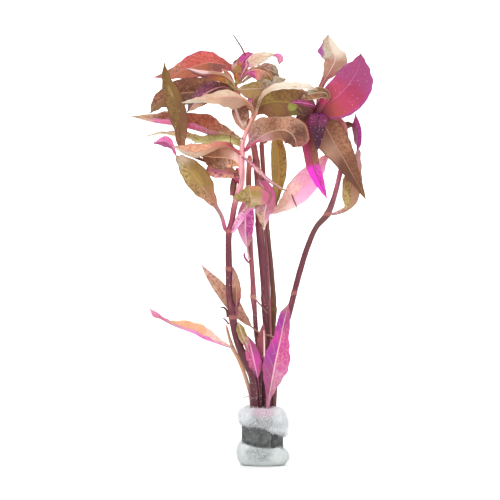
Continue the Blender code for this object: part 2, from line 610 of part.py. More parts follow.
def make_strip(home):
    """The metal strip: a ribbon wrapped a little over once, the outer end at the front."""
    mesh = bpy.data.meshes.new("metal_strip")
    ribbon = bmesh.new()
    bmesh.ops.create_grid(ribbon, x_segments=STRIP_SEGMENTS, y_segments=1, size=1.0)
    for vert in ribbon.verts:
        turned = STRIP_TURN * (1.0 - vert.co.x) / 2.0
        angle = math.radians(STRIP_OUTER_END - turned)
        radius = STRIP_RADIUS + STRIP_PITCH * (STRIP_TURN - turned) / 360.0
        x = radius * math.cos(angle)
        y = radius * math.sin(angle)
        climb = STRIP_CLIMB * (0.5 - turned / STRIP_TURN) - STRIP_LEAN * x
        z = STRIP_MIDDLE + climb + vert.co.y * STRIP_HEIGHT / 2.0
        vert.co = (x * MM, y * MM, z * MM)
    ribbon.to_mesh(mesh)
    ribbon.free()
    mesh.shade_smooth()
    piece = place("metal_strip", mesh, "strip_grey", home)
    thick = piece.modifiers.new("thickness", "SOLIDIFY")
    thick.thickness = STRIP_THICKNESS * MM
    thick.offset = 0.0
    return piece


def main():
    clear_scene()
    home = bpy.data.collections.new("alternanthera_bunch")
    bpy.context.scene.collection.children.link(home)
    make_plug(home)
    make_strip(home)
    for name in STEMS:
        make_stem(name, home)
    for leaf in LEAVES:
        make_leaf(leaf, home)


main()
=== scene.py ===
"""Looks of a bunch of cut red-leaved aquarium stems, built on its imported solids.

Lengths in the tables are millimetres, angles are degrees and colours are names in PALETTE.
The origin is the centre of the holder's flat foot, +Z is up the stems and -Y faces the viewer.
"""

import logging
import math
import random
from collections.abc import Callable, Sequence
from dataclasses import dataclass
from enum import Enum

import bmesh
import bpy
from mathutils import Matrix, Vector, noise


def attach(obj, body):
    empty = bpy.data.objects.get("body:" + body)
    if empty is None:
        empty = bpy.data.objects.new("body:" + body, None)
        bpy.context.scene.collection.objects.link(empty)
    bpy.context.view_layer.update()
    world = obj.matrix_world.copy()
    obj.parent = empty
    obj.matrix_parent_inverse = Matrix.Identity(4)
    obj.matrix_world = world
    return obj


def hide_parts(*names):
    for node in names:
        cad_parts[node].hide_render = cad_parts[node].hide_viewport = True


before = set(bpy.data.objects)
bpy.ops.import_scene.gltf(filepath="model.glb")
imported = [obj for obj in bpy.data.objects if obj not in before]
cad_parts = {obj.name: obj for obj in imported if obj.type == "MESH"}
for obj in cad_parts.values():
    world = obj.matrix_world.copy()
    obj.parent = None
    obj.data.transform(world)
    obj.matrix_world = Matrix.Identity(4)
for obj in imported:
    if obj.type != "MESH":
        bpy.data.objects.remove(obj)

log = logging.getLogger("bunch")

MM = 0.001
BODY = "root"
WELD = 1e-6
CURVE_KNEE = 0.04045
CURVE_SLOPE = 12.92
CURVE_LIFT = 0.055
CURVE_POWER = 2.4
UP = Vector((0.0, 0.0, 1.0))
BACK = Vector((0.0, 1.0, 0.0))

Colour = tuple[float, float, float]
Point = tuple[float, float, float]

PALETTE: dict[str, tuple[int, int, int]] = {
    "white": (246, 246, 244),
    "ivory": (229, 217, 198),
    "cream": (214, 192, 168),
    "blush": (244, 208, 200),
    "peach": (236, 178, 142),
    "sand": (204, 168, 140),
    "tan": (186, 138, 112),
    "shell": (250, 216, 206),
    "pale_pink": (240, 172, 178),
    "orchid": (240, 172, 212),
    "salmon": (212, 128, 116),
    "coral": (206, 96, 88),
    "brick": (166, 68, 68),
    "terracotta": (182, 102, 74),
    "rust": (156, 90, 52),
    "ochre": (190, 132, 58),
    "amber": (186, 116, 46),
    "gold": (156, 132, 60),
    "olive": (134, 105, 52),
    "bronze": (124, 91, 42),
    "brown": (115, 73, 47),
    "umber": (96, 54, 40),
    "moss": (104, 100, 40),
    "fern": (150, 160, 74),
    "lime": (176, 180, 98),
    "pale_lime": (204, 212, 140),
    "sage": (184, 182, 160),
    "pink": (224, 108, 164),
    "mulberry": (120, 40, 82),
    "hazel": (142, 94, 66),
    "fawn": (160, 112, 80),
    "khaki": (164, 136, 84),
    "taupe": (166, 128, 106),
    "hay": (176, 158, 94),
    "ash_rose": (178, 130, 136),
    "thistle": (202, 130, 164),
    "fuchsia": (220, 66, 186),
    "lilac": (228, 122, 190),
    "hot_pink": (230, 74, 150),
    "magenta": (188, 54, 148),
    "neon": (240, 44, 206),
    "rose": (198, 86, 138),
    "dusky_rose": (176, 100, 118),
    "crimson": (184, 38, 92),
    "rose_red": (176, 58, 92),
    "wine": (158, 48, 86),
    "maroon": (118, 44, 56),
    "plum": (90, 38, 48),
    "mauve": (150, 62, 112),
    "violet": (150, 48, 142),
    "grape": (120, 54, 82),
    "aubergine": (68, 16, 46),
    "blackberry": (50, 6, 32),
    "stem_brown": (104, 64, 60),
    "stem_plum": (106, 48, 60),
    "stem_rose": (150, 78, 88),
    "stem_crimson": (156, 70, 88),
    "dusky_brown": (158, 92, 88),
    "fibre": (255, 255, 255),
    "floss": (234, 237, 239),
    "floss_shade": (208, 212, 214),
    "floss_green": (204, 216, 211),
    "floss_grey": (146, 149, 152),
    "floss_rosy": (212, 160, 184),
    "lead": (102, 104, 103),
    "lead_dark": (66, 68, 69),
    "lead_shadow_black": (36, 37, 38),
    "lead_light": (142, 144, 144),
}


def linear(name: str) -> Colour:
    """Reads a palette colour as linear light.

    Args:
        name: The colour's name in PALETTE.

    Returns:
        Its red, green and blue from 0 to 1.
    """
    shares = [channel / 255.0 for channel in PALETTE[name]]
    curved = [((c + CURVE_LIFT) / (1.0 + CURVE_LIFT)) ** CURVE_POWER for c in shares]
    return tuple(c / CURVE_SLOPE if c <= CURVE_KNEE else light for c, light in zip(shares, curved))


def eased(low: float, high: float, value: float) -> float:
    """A smooth step from 0 at low to 1 at high."""
    share = min(max((value - low) / (high - low), 0.0), 1.0)
    return share * share * (3.0 - 2.0 * share)


class Wire:
    """A value socket in a shader sum; arithmetic on it adds Math nodes."""

    def __init__(self, graph: "Graph", socket: bpy.types.NodeSocket) -> None:
        """Keeps a socket and the graph that it belongs to."""
        self.graph = graph
        self.socket = socket

    def maths(self, operation: str, *others: "Wire | float") -> "Wire":
        """Adds one Math node that starts with this value.

        Args:
            operation: The Math node's operation.
            others: Its other values.

        Returns:
            The result.
        """
        inputs = dict(enumerate([self, *others]))
        node = self.graph.node("ShaderNodeMath", {"operation": operation}, inputs)
        return Wire(self.graph, node.outputs[0])

    def __add__(self, other: "Wire | float") -> "Wire":
        """This value plus another."""
        return self.maths("ADD", other)

    __radd__ = __add__

    def __mul__(self, other: "Wire | float") -> "Wire":
        """This value times another."""
        return self.maths("MULTIPLY", other)

    def __sub__(self, other: "Wire | float") -> "Wire":
        """This value less another."""
        return self.maths("SUBTRACT", other)

    def __rsub__(self, other: float) -> "Wire":
        """A number less this value."""
        return (self * -1.0) + other

    def __gt__(self, other: "Wire | float") -> "Wire":
        """1 where this value is above another, else 0."""
        return self.maths("GREATER_THAN", other)

    def size(self) -> "Wire":
        """The value without its sign."""
        return self.maths("ABSOLUTE")

    def fraction(self) -> "Wire":
        """The part after the decimal point."""
        return self.maths("FRACT")

    def distance(self, other: "Wire") -> "Wire":
        """How far off a point is that lies this far across and the other value along."""
        return (self * self + other * other).maths("SQRT")

    def step(self, low: float, high: float) -> "Wire":
        """A smooth step of this value.

        Args:
            low: Where the step is 0.
            high: Where it is 1; below low the step falls.

        Returns:
            A value from 0 to 1.
        """
        if low > high:
            return 1.0 - self.step(high, low)
        settings = {"interpolation_type": "SMOOTHSTEP"}
        inputs = {"Value": self, "From Min": low, "From Max": high}
        node = self.graph.node("ShaderNodeMapRange", settings, inputs)
        return Wire(self.graph, node.outputs["Result"])

    def band(self, rise: tuple[float, float], fall: tuple[float, float]) -> "Wire":
        """1 between two smooth steps of this value, each from its first number to its second."""
        return self.step(*rise) - self.step(*fall)


class Graph:
    """The node tree of one material, with its Principled shader."""

    def __init__(self, name: str) -> None:
        """Starts a material.

        Args:
            name: The material's name.
        """
        self.material = bpy.data.materials.new(name)
        self.material.use_nodes = True
        self.tree = self.material.node_tree
        self.shader = self.tree.nodes["Principled BSDF"]

    def node(self, kind: str, settings: dict | None = None, inputs: dict | None = None) -> bpy.types.Node:
        """Adds a node.

        Args:
            kind: The node's type.
            settings: Its properties, set first; "stops" fills a ramp.
            inputs: Values or links by socket name or index.

        Returns:
            The new node.
        """
        node = self.tree.nodes.new(kind)
        for key, value in (settings or {}).items():
            if key == "stops":
                self.fill_ramp(node.color_ramp, value)
            else:
                setattr(node, key, value)
        for key, value in (inputs or {}).items():
            self.feed(node.inputs[key], value)
        return node

    def feed(self, socket: bpy.types.NodeSocket, value: object) -> None:
        """Links a wire or socket to an input, or sets a plain value on it.

        Args:
            socket: The input.
            value: A wire, a socket, a number or a colour.
        """
        if isinstance(value, Wire):
            value = value.socket
        if isinstance(value, bpy.types.NodeSocket):
            self.tree.links.new(value, socket)
        elif isinstance(value, tuple) and len(value) == 3 and socket.type == "RGBA":
            socket.default_value = (*value, 1.0)
        else:
            socket.default_value = value

    def fill_ramp(self, ramp: bpy.types.ColorRamp, names: Sequence[str]) -> None:
        """Spreads palette colours evenly over a ramp.

        Args:
            ramp: The node's ramp.
            names: The colours, from 0 to 1.
        """
        ramp.interpolation = "EASE"
        last = max(len(names) - 1, 1)
        while len(ramp.elements) > 1:
            ramp.elements.remove(ramp.elements[-1])
        for index, name in enumerate(names):
            stop = ramp.elements[0] if index == 0 else ramp.elements.new(index / last)
            stop.position = index / last
            stop.color = (*linear(name), 1.0)

    def ramp(self, value: Wire, names: str) -> bpy.types.NodeSocket:
        """A colour that runs through the named ones as the value goes from 0 to 1."""
        node = self.node("ShaderNodeValToRGB", {"stops": names.split()}, {"Fac": value})
        return node.outputs["Color"]

    def mix(self, factor: Wire, start: object, end: object) -> bpy.types.NodeSocket:
        """Blends two colours.

        Args:
            factor: The end colour's share.
            start: A colour or a link.
            end: A colour or a link.

        Returns:
            The blend's socket.
        """
        settings = {"data_type": "RGBA", "clamp_factor": True}
        node = self.node("ShaderNodeMix", settings, {0: factor, 6: start, 7: end})
        return node.outputs[2]

    def place(self) -> bpy.types.NodeSocket:
        """The object's own coordinates, in metres."""
        return self.node("ShaderNodeTexCoord").outputs["Object"]

    def split(self, point: bpy.types.NodeSocket, axes: str) -> list[Wire]:
        """The values of some axes of a point."""
        parts = self.node("ShaderNodeSeparateXYZ", inputs={0: point}).outputs
        return [Wire(self, parts[axis]) for axis in axes]

    def map_point(self, layer: str) -> list[Wire]:
        """The two values of a UV map."""
        return self.split(self.node("ShaderNodeUVMap", {"uv_map": layer}).outputs["UV"], "XY")

    def joined(self, across: Wire, along: Wire) -> bpy.types.NodeSocket:
        """Coordinates made of two values, for a pattern that follows a piece's UV map."""
        return self.node("ShaderNodeCombineXYZ", inputs={"X": across, "Y": along}).outputs[0]

    def clouds(self, scale: float, detail: float = 2.0, where: object = None) -> Wire:
        """Soft noise.

        Args:
            scale: Its features in each metre.
            detail: How many finer layers it has.
            where: The coordinates, or the object's own.

        Returns:
            Its value from 0 to 1.
        """
        inputs = {"Vector": where or self.place(), "Scale": scale, "Detail": detail}
        return Wire(self, self.node("ShaderNodeTexNoise", inputs=inputs).outputs["Fac"])

    def specks(self, scale: float, radius: float, share: float) -> Wire:
        """Small round specks.

        Args:
            scale: Cells in each metre, with one speck at most in each.
            radius: A speck's radius as a share of its cell.
            share: How many of the cells have one.

        Returns:
            1 on a speck and 0 off it.
        """
        node = self.node("ShaderNodeTexVoronoi", inputs={"Vector": self.place(), "Scale": scale})
        chosen = self.node("ShaderNodeSeparateColor", inputs={0: node.outputs["Color"]})
        near = Wire(self, node.outputs["Distance"]).step(radius, radius * 0.6)
        return near * (Wire(self, chosen.outputs[0]) > 1.0 - share)

    def finish(
        self, colour: object, roughness: object, height: Wire, depth: float, **fixed: object
    ) -> bpy.types.Material:
        """Feeds the shader.

        Args:
            colour: The base colour.
            roughness: The roughness.
            height: The bump's height, 0 to 1.
            depth: The bump's depth in metres.
            fixed: Shader values by socket name, with _ for each space.

        Returns:
            The finished material.
        """
        self.feed(self.shader.inputs["Base Color"], colour)
        self.feed(self.shader.inputs["Roughness"], roughness)
        for key, value in fixed.items():
            self.feed(self.shader.inputs[key.replace("_", " ")], value)
        bump = self.node("ShaderNodeBump", inputs={"Height": height, "Distance": depth, "Strength": 1.0})
        self.feed(self.shader.inputs["Normal"], bump.outputs["Normal"])
        return self.material


def on_path(points: Sequence[Vector], share: float) -> Vector:
    """Reads a smooth path through points.

    Args:
        points: At least two points.
        share: How far along, as a share of the length of its straight steps.

    Returns:
        The point there.
    """
    steps = [(b - a).length for a, b in zip(points, points[1:])]
    goal = share * sum(steps)
    index = 0
    while index < len(steps) - 1 and goal > steps[index]:
        goal -= steps[index]
        index += 1
    local = min(goal / steps[index], 1.0)
    a = points[index]
    b = points[index + 1]
    before = points[index - 1] if index else a * 2.0 - b
    after = points[index + 2] if index + 2 < len(points) else b * 2.0 - a
    bend = (2.0 * before - 5.0 * a + 4.0 * b - after) * local**2
    turn = (3.0 * a - before - 3.0 * b + after) * local**3
    return 0.5 * (2.0 * a + (b - before) * local + bend + turn)


def path_length(points: Sequence[Vector]) -> float:
    """The length of the straight steps between points."""
    return sum((b - a).length for a, b in zip(points, points[1:]))


def path_step(points: Sequence[Vector], share: float, reach: float) -> Vector:
    """The step along a path from a little before a share of its length to as much after it."""
    return on_path(points, min(share + reach, 1.0)) - on_path(points, max(share - reach, 0.0))


def path_frames(points: Sequence[Vector], rows: int, reach: float) -> list[tuple[Vector, Vector, Vector]]:
    """Sets frames evenly along a path.

    Args:
        points: The path.
        rows: Steps between the frames.
        reach: How far before and after each its direction is read, as a share of the length.

    Returns:
        Each frame's point, the direction to its side and the one to its front.
    """
    frames = []
    for row in range(rows + 1):
        ahead = path_step(points, row / rows, reach)
        side = ahead.cross(BACK).normalized()
        frames.append((on_path(points, row / rows), side, side.cross(ahead).normalized()))
    return frames


def even_value(values: Sequence[float], share: float) -> float:
    """Reads a value from evenly spread ones, eased from each to the next.

    Args:
        values: At least two values.
        share: How far along them, from 0 to 1.

    Returns:
        The value there.
    """
    place = min(max(share, 0.0), 1.0) * (len(values) - 1)
    index = min(int(place), len(values) - 2)
    return values[index] + (values[index + 1] - values[index]) * eased(0.0, 1.0, place - index)


def grid_cells(grid: bmesh.types.BMesh, around: int, along: int) -> dict[bmesh.types.BMVert, tuple[int, int]]:
    """The column and the row of each vertex of a new flat grid that spans -1 to 1."""
    return {v: (round((v.co.x + 1) * around / 2), round((v.co.y + 1) * along / 2)) for v in grid.verts}


def close_skin(skin: bmesh.types.BMesh) -> None:
    """Merges doubles, closes the ends and turns every face outwards.

    Args:
        skin: The open mesh.
    """
    bmesh.ops.remove_doubles(skin, verts=skin.verts, dist=WELD)
    bmesh.ops.holes_fill(skin, edges=[e for e in skin.edges if e.is_boundary], sides=0)
    bmesh.ops.recalc_face_normals(skin, faces=skin.faces)


def wrap_grid(
    name: str,
    around: int,
    along: int,
    place: Callable[[int, int], Vector],
    layer: str,
    map_point: Callable[[int, int, bool], tuple[float, float]] | None = None,
) -> bpy.types.Object:
    """Wraps a flat grid into a closed skin, like a sleeve with both ends closed.

    Args:
        name: The piece's name.
        around: Cells round the skin.
        along: Cells from end to end.
        place: The point, in millimetres, of a column and a row.
        layer: The name of its UV map.
        map_point: The UV of a column and a row, told if the face is in the second half round.
            Without it the UV is the share round and the share along.

    Returns:
        The piece, linked to the scene.
    """
    skin = bmesh.new()
    bmesh.ops.create_grid(skin, x_segments=around, y_segments=along, size=1.0)
    cell = grid_cells(skin, around, along)
    uv = skin.loops.layers.uv.new(layer)
    for face in skin.faces:
        second = 2 * min(cell[v][0] for v in face.verts) >= around
        for loop in face.loops:
            column, row = cell[loop.vert]
            loop[uv].uv = map_point(column, row, second) if map_point else (column / around, row / along)
    for vert, (column, row) in cell.items():
        vert.co = place(column, row) * MM
    close_skin(skin)
    return link_mesh(name, skin)


def link_mesh(name: str, made: bmesh.types.BMesh) -> bpy.types.Object:
    """Puts a finished mesh in the scene, shaded smooth.

    Args:
        name: The piece's name.
        made: The mesh, which is freed.

    Returns:
        The piece.
    """
    mesh = bpy.data.meshes.new(name)
    made.to_mesh(mesh)
    made.free()
    mesh.shade_smooth()
    piece = bpy.data.objects.new(name, mesh)
    bpy.context.scene.collection.objects.link(piece)
    return piece


def present(piece: bpy.types.Object, material: bpy.types.Material, slot: str, *nodes: str) -> None:
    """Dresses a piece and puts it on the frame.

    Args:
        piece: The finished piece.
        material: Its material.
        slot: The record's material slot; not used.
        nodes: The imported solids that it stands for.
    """
    piece.data.materials.append(material)
    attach(piece, BODY)
    if nodes:
        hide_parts(*nodes)
    log.info("%s: %d faces", piece.name, len(piece.data.polygons))


class Face(Enum):
    """The two faces of a leaf."""

    UPPER = 1.0
    UNDER = -1.0


@dataclass(frozen=True)
class LeafFinish:
    """The colours of one leaf; rows of names run from the stalk to the tip.

    Attributes:
        upper: The upper face.
        under: The underside.
        rib: The midrib, the veins and the fine light mottling.
        half: The colours of the half at side -1, or of the other with a + before them.
        edge: A tint of the margin.
        patch: The colour of soft patches on the upper face.
        patches: How strong they are.
        specks: The share of cells with a pale speck.
        shade: The colour of the other fine mottling and of the rim.
        spots: Soft spots as (colour, side, share of the length, reach as a share of it).
    """

    upper: str
    under: str = "hot_pink magenta"
    rib: str = "blush"
    half: str = ""
    edge: str = ""
    patch: str = "brown"
    patches: float = 0.4
    specks: float = 0.06
    shade: str = "umber"
    spots: tuple[tuple[str, float, float, float], ...] = ()

    # Scales are features in each metre, shares are strengths from 0 to 1.
    cloud_scale = 230.0
    mottle_scale = 800.0
    grain_scale = 2200.0
    speck_scale = 1100.0
    speck_radius = 0.16
    side_reach = 0.28
    row_wander = 0.12
    half_wander = 0.2
    tint_share = 0.85
    shade_share = 0.55
    light_share = 0.34
    edge_share = 0.7
    rim_share = 0.45
    rib_colour_share = 0.7
    vein_share = 0.16
    bump_depth = 0.0003

    def material(self, name: str, veins: float, rib_share: float) -> bpy.types.Material:
        """Builds the leaf's material.

        Args:
            name: The material's name.
            veins: Side veins along each half.
            rib_share: The midrib's share of the half width.

        Returns:
            The material.
        """
        graph = Graph(name)
        u, v = graph.map_point(Leaf.layer)
        under = v > 0.75 * Leaf.under_shift
        share = v - under * Leaf.under_shift
        side = u * 2.0 - 1.0
        near = side.size()
        cloud = graph.clouds(self.cloud_scale, 3.0)
        mottle = graph.clouds(self.mottle_scale, 4.0)
        grain = graph.clouds(self.grain_scale, 2.0)
        wander = share + (cloud - 0.5) * self.row_wander

        patch = (cloud.step(0.5, 0.64) * 0.6 + mottle.step(0.46, 0.62) * 0.8) * self.patches
        top = graph.mix(patch, graph.ramp(wander, self.upper), linear(self.patch))
        colour = graph.mix(under, top, graph.ramp(wander, self.under))
        dark = (mottle * 0.6 + grain * 0.4).step(0.45, 0.64)
        colour = graph.mix(dark * self.shade_share, colour, linear(self.shade))
        light = (mottle * 0.5 + grain * 0.5).step(0.47, 0.37)
        colour = graph.mix(light * self.light_share, colour, linear(self.rib))

        if self.half:
            sign = -1.0 if self.half.startswith("+") else 1.0
            turned = side * sign + (cloud - 0.5) * self.half_wander
            tint = graph.ramp(wander, self.half.strip("+"))
            colour = graph.mix(turned.step(0.06, -0.1) * self.tint_share, colour, tint)
        for spot, at_side, at_share, reach in self.spots:
            away = ((side - at_side) * self.side_reach).distance(wander - at_share)
            colour = graph.mix(away.step(reach * 1.25, reach * 0.7) * self.tint_share, colour, linear(spot))
        if self.edge:
            margin = (near + (grain - 0.5) * 0.3).step(0.8, 0.98)
            colour = graph.mix(margin * self.edge_share, colour, linear(self.edge))
        rim = (near + (grain - 0.5) * 0.1).step(0.9, 1.0)
        colour = graph.mix(rim * self.rim_share, colour, linear(self.shade))

        rib = near.step(rib_share * 1.5, rib_share * 0.6)
        phase = (share * veins - near * Leaf.vein_slant + (cloud - 0.5) * 0.5).fraction() - 0.5
        vein = phase.size().step(0.12, 0.01) * near.step(0.95, 0.6)
        colour = graph.mix(rib * self.rib_colour_share, colour, linear(self.rib))
        colour = graph.mix(vein * mottle.step(0.35, 0.6) * self.vein_share, colour, linear(self.rib))
        specks = graph.specks(self.speck_scale, self.speck_radius, self.specks)
        colour = graph.mix(specks, colour, linear("white"))
        height = grain * 0.35 + cloud * 0.25 + (1.0 - vein) * 0.3 + (1.0 - rib) * 0.3
        return graph.finish(
            colour,
            0.4 + grain * 0.2,
            height,
            self.bump_depth,
            Specular_IOR_Level=0.35,
            Subsurface_Weight=0.12,
            Subsurface_Radius=(1.0, 0.5, 0.5),
            Subsurface_Scale=0.0012,
        )


@dataclass(frozen=True)
class LeafRow:
    """One row across a leaf.

    Attributes:
        share: How far along the length it is; the part inside the stem is below 0.
        middle: The midrib's point.
        across: The direction to the margin at side 1.
        normal: The direction that the upper face looks in.
        widths: The widths of the halves at side -1 and at side 1.
    """

    share: float
    middle: Vector
    across: Vector
    normal: Vector
    widths: tuple[float, float]


@dataclass(frozen=True)
class Leaf:
    """One leaf, a flattened skin along a midrib.

    Attributes:
        name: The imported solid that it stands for.
        slot: The record's material slot.
        rolls: How the face turns, spread evenly; 0 shows the upper face and 180 the underside.
        midrib: Points from the stem to the tip.
        finish: The colours.
        fold: How far both halves lift towards the upper face.
        bend: More fold of the half at side -1 and of the one at side 1.
        widths: Half widths, spread evenly from the stalk to the tip.
        plus_widths: Those of the half at side 1, where they differ.
        half_width: Half the greatest width of a blade that has no widths of its own.
        stalk: The share of such a blade's length that is stalk.
        peak: Where such a blade is widest, as a share of what is left.
        wave: How far the halves wave, in opposite senses.
    """

    name: str
    slot: str
    rolls: tuple[float, ...]
    midrib: tuple[Point, ...]
    finish: LeafFinish
    fold: float
    bend: tuple[float, float] = (0.0, 0.0)
    widths: tuple[float, ...] = ()
    plus_widths: tuple[float, ...] = ()
    half_width: float = 0.0
    stalk: float = 0.15
    peak: float = 0.42
    wave: float = 0.0

    # Widths, heights, depths and gaps are millimetres, and reaches are shares of the length.
    layer = "leaf_map"
    under_shift = 2.0
    rows = 60
    sides = (
        -1.0, -0.94, -0.82, -0.64, -0.44, -0.26, -0.12, -0.04,
        0.04, 0.12, 0.26, 0.44, 0.64, 0.82, 0.94, 1.0,
    )
    section_steps = 20
    row_reach = 0.02
    stalk_half_width = 0.6
    tip_half_width = 0.15
    blade_half_widths = (0.6, 2.4)
    stalk_half_thickness = 0.45
    blade_half_thickness = 0.15
    rib_softness = 0.2
    rib_half_width = 0.32
    groove_half_width = 0.55
    groove_depth = 0.12
    keel_height = 0.28
    relief = 0.11
    vein_gap = 6.0
    fewest_veins = 4.0
    vein_slant = 1.3
    waves = 1.5
    wave_growth = 4.0
    ripple = 0.3
    ripple_gap = 30.0
    fewest_ripples = 4.0
    ripple_lag = 2.1
    phase_x = 0.37
    phase_z = 0.21

    def half_width_at(self, share: float, side: float) -> float:
        """Reads the width of one half.

        Args:
            share: The share of the length; the stalk goes on below 0.
            side: -1 or 1, the half's own side.

        Returns:
            The half's width there.
        """
        share = max(share, 0.0)
        if self.widths:
            return even_value(self.plus_widths if side > 0.0 and self.plus_widths else self.widths, share)
        stalk = max(self.stalk_half_width * (1.0 - share), self.tip_half_width)
        if share <= self.stalk:
            return stalk
        along = (share - self.stalk) / (1.0 - self.stalk)
        swell = self.peak / (1.0 - self.peak)
        top = self.peak**swell * (1.0 - self.peak)
        return max(stalk, self.half_width * along**swell * (1.0 - along) / top)

    def profile(self, side: float) -> tuple[float, float]:
        """Reads the half section of the blade, folded at the midrib.

        Args:
            side: From the midrib at 0 to the margins at -1 and 1.

        Returns:
            How far out and how far up that lies, for a half width of 1.
        """
        fold = math.radians(self.fold + self.bend[0 if side < 0.0 else 1])
        out = up = 0.0
        for step in range(self.section_steps):
            reach = (step + 0.5) / self.section_steps * abs(side)
            angle = fold * reach / math.hypot(reach, self.rib_softness)
            out += math.cos(angle) * abs(side) / self.section_steps
            up += math.sin(angle) * abs(side) / self.section_steps
        return math.copysign(out, side), up

    def rows_from(self, root: Vector) -> list[LeafRow]:
        """Sets the rows along the leaf.

        Args:
            root: The point inside the stem that the stalk grows from.

        Returns:
            The rows from the root to the tip.
        """
        line = [Vector(p) for p in self.midrib]
        extra = (line[0] - root).length / path_length(line)

        def centre(share: float) -> Vector:
            """The midrib's point; below 0 it runs straight to the root."""
            inside = line[0].lerp(root, min(-share / extra, 1.0))
            return inside if share < 0.0 else on_path(line, min(share, 1.0))

        made = []
        for row in range(self.rows + 1):
            share = -extra + (1.0 + extra) * row / self.rows
            ahead = (centre(share + self.row_reach) - centre(share - self.row_reach)).normalized()
            facing = -BACK + ahead * ahead.dot(BACK)
            facing.normalize()
            roll = math.radians(even_value(self.rolls, share))
            normal = facing * math.cos(roll) + ahead.cross(facing) * math.sin(roll)
            widths = (self.half_width_at(share, -1.0), self.half_width_at(share, 1.0))
            made.append(LeafRow(share, centre(share), ahead.cross(normal), normal, widths))
        return made

    def build(self, root: Vector) -> None:
        """Builds and dresses the leaf.

        Args:
            root: The point inside the stem that the stalk grows from.
        """
        length = path_length([Vector(p) for p in self.midrib])
        veins = max(self.fewest_veins, length / self.vein_gap)
        ripples = len(self.midrib) % 3 + self.fewest_ripples + length / self.ripple_gap
        tip = Vector(self.midrib[-1])
        phase = (tip.x * self.phase_x + tip.z * self.phase_z) % math.tau
        thinner = self.blade_half_thickness - self.stalk_half_thickness
        rows = self.rows_from(root)
        half = len(self.sides) - 1
        profiles = {side: self.profile(side) for side in self.sides}

        def spot(column: int) -> tuple[float, Face]:
            """The side and the face of a column."""
            outer = column <= half
            return (self.sides[column], Face.UPPER) if outer else (self.sides[2 * half - column], Face.UNDER)

        def place(column: int, row: int) -> Vector:
            """Finds a point of the skin.

            Args:
                column: Round the skin, over the upper face and back on the underside.
                row: From the root to the tip.

            Returns:
                The point.
            """
            here = rows[row]
            share = here.share
            side, face = spot(column)
            near = abs(side)
            width = here.widths[0 if side < 0.0 else 1]
            blade = eased(*self.blade_half_widths, width)
            out, up = profiles[side]
            lift = width * up
            swing = self.wave * side * near * math.sin(math.tau * self.waves * share)
            lift += swing * min(max(share - self.stalk, 0.0) * self.wave_growth, 1.0)
            curve = math.sin(math.tau * ripples * share + phase + (self.ripple_lag if side > 0 else 0.0))
            lift += self.ripple * near**3 * curve * blade
            pleat = math.cos(math.tau * (veins * share - self.vein_slant * near))
            lift += self.relief * pleat * near * (1.2 - near) * 2.0 * blade
            thick = self.stalk_half_thickness + thinner * blade
            rise = thick * math.sqrt(max(1.0 - side * side, 0.0))
            groove = math.exp(-((side * width / self.groove_half_width) ** 2)) * blade
            rise += groove * (-self.groove_depth if face is Face.UPPER else self.keel_height)
            return here.middle + here.across * (width * out) + here.normal * (lift + face.value * rise)

        def map_point(column: int, row: int, second: bool) -> tuple[float, float]:
            """The side as 0 to 1, and the share, with a shift on the underside."""
            side = self.sides[2 * half - column] if second else self.sides[min(column, half)]
            return (side + 1.0) / 2.0, rows[row].share + (self.under_shift if second else 0.0)

        piece = wrap_grid(f"{self.name}_blade", 2 * half, self.rows, place, self.layer, map_point)
        rib = self.rib_half_width / (max(self.widths) if self.widths else self.half_width)
        present(piece, self.finish.material(self.name, veins, rib), self.slot, self.name)


@dataclass(frozen=True)
class StemFinish:
    """The skin of a stem.

    Attributes:
        skin: Colours from the foot to the top.
        ring: The colour at the nodes.
        streak: The colour of the fine streaks.
    """

    skin: str
    ring: str = "salmon"
    streak: str = "plum"

    streaks = 9.0
    grain_scale = 1800.0
    cloud_scale = 260.0
    ring_reach = (0.0014, 0.0004)
    ring_wander = 0.002
    low_heights = (0.062, 0.03)
    low_marks = (("white", 1100.0, 0.26, 0.14, 0.9), ("aubergine", 800.0, 0.5, 0.3, 0.55))
    marks = (900.0, 0.18, 0.05)
    bump_depth = 0.00018

    def material(self, name: str, nodes: Sequence[float], length: float) -> bpy.types.Material:
        """Builds the stem's material, with more marks near the foot.

        Args:
            name: The material's name.
            nodes: Heights of the nodes.
            length: The stem's length.

        Returns:
            The material.
        """
        graph = Graph(name)
        u, v = graph.map_point(Stem.layer)
        streak = graph.clouds(1.0, 3.0, graph.joined(u * self.streaks, v * (length / self.streaks)))
        grain = graph.clouds(self.grain_scale, 2.0)
        cloud = graph.clouds(self.cloud_scale, 2.0)
        colour = graph.ramp(v + (cloud - 0.5) * 0.08, self.skin)
        colour = graph.mix(streak.step(0.48, 0.7) * 0.55, colour, linear(self.streak))
        colour = graph.mix(streak.step(0.42, 0.3) * 0.3, colour, linear("salmon"))
        (z,) = graph.split(graph.place(), "Z")
        for node in nodes:
            off = (z + (cloud - 0.5) * self.ring_wander - node * MM).size()
            colour = graph.mix(off.step(*self.ring_reach) * 0.4, colour, linear(self.ring))
        low = z.step(*self.low_heights)
        for mark, scale, radius, share, strength in self.low_marks:
            colour = graph.mix(graph.specks(scale, radius, share) * low * strength, colour, linear(mark))
        colour = graph.mix(graph.specks(*self.marks), colour, linear("white"))
        height = streak * 0.6 + grain * 0.4
        return graph.finish(colour, 0.38 + grain * 0.2, height, self.bump_depth, Specular_IOR_Level=0.4)


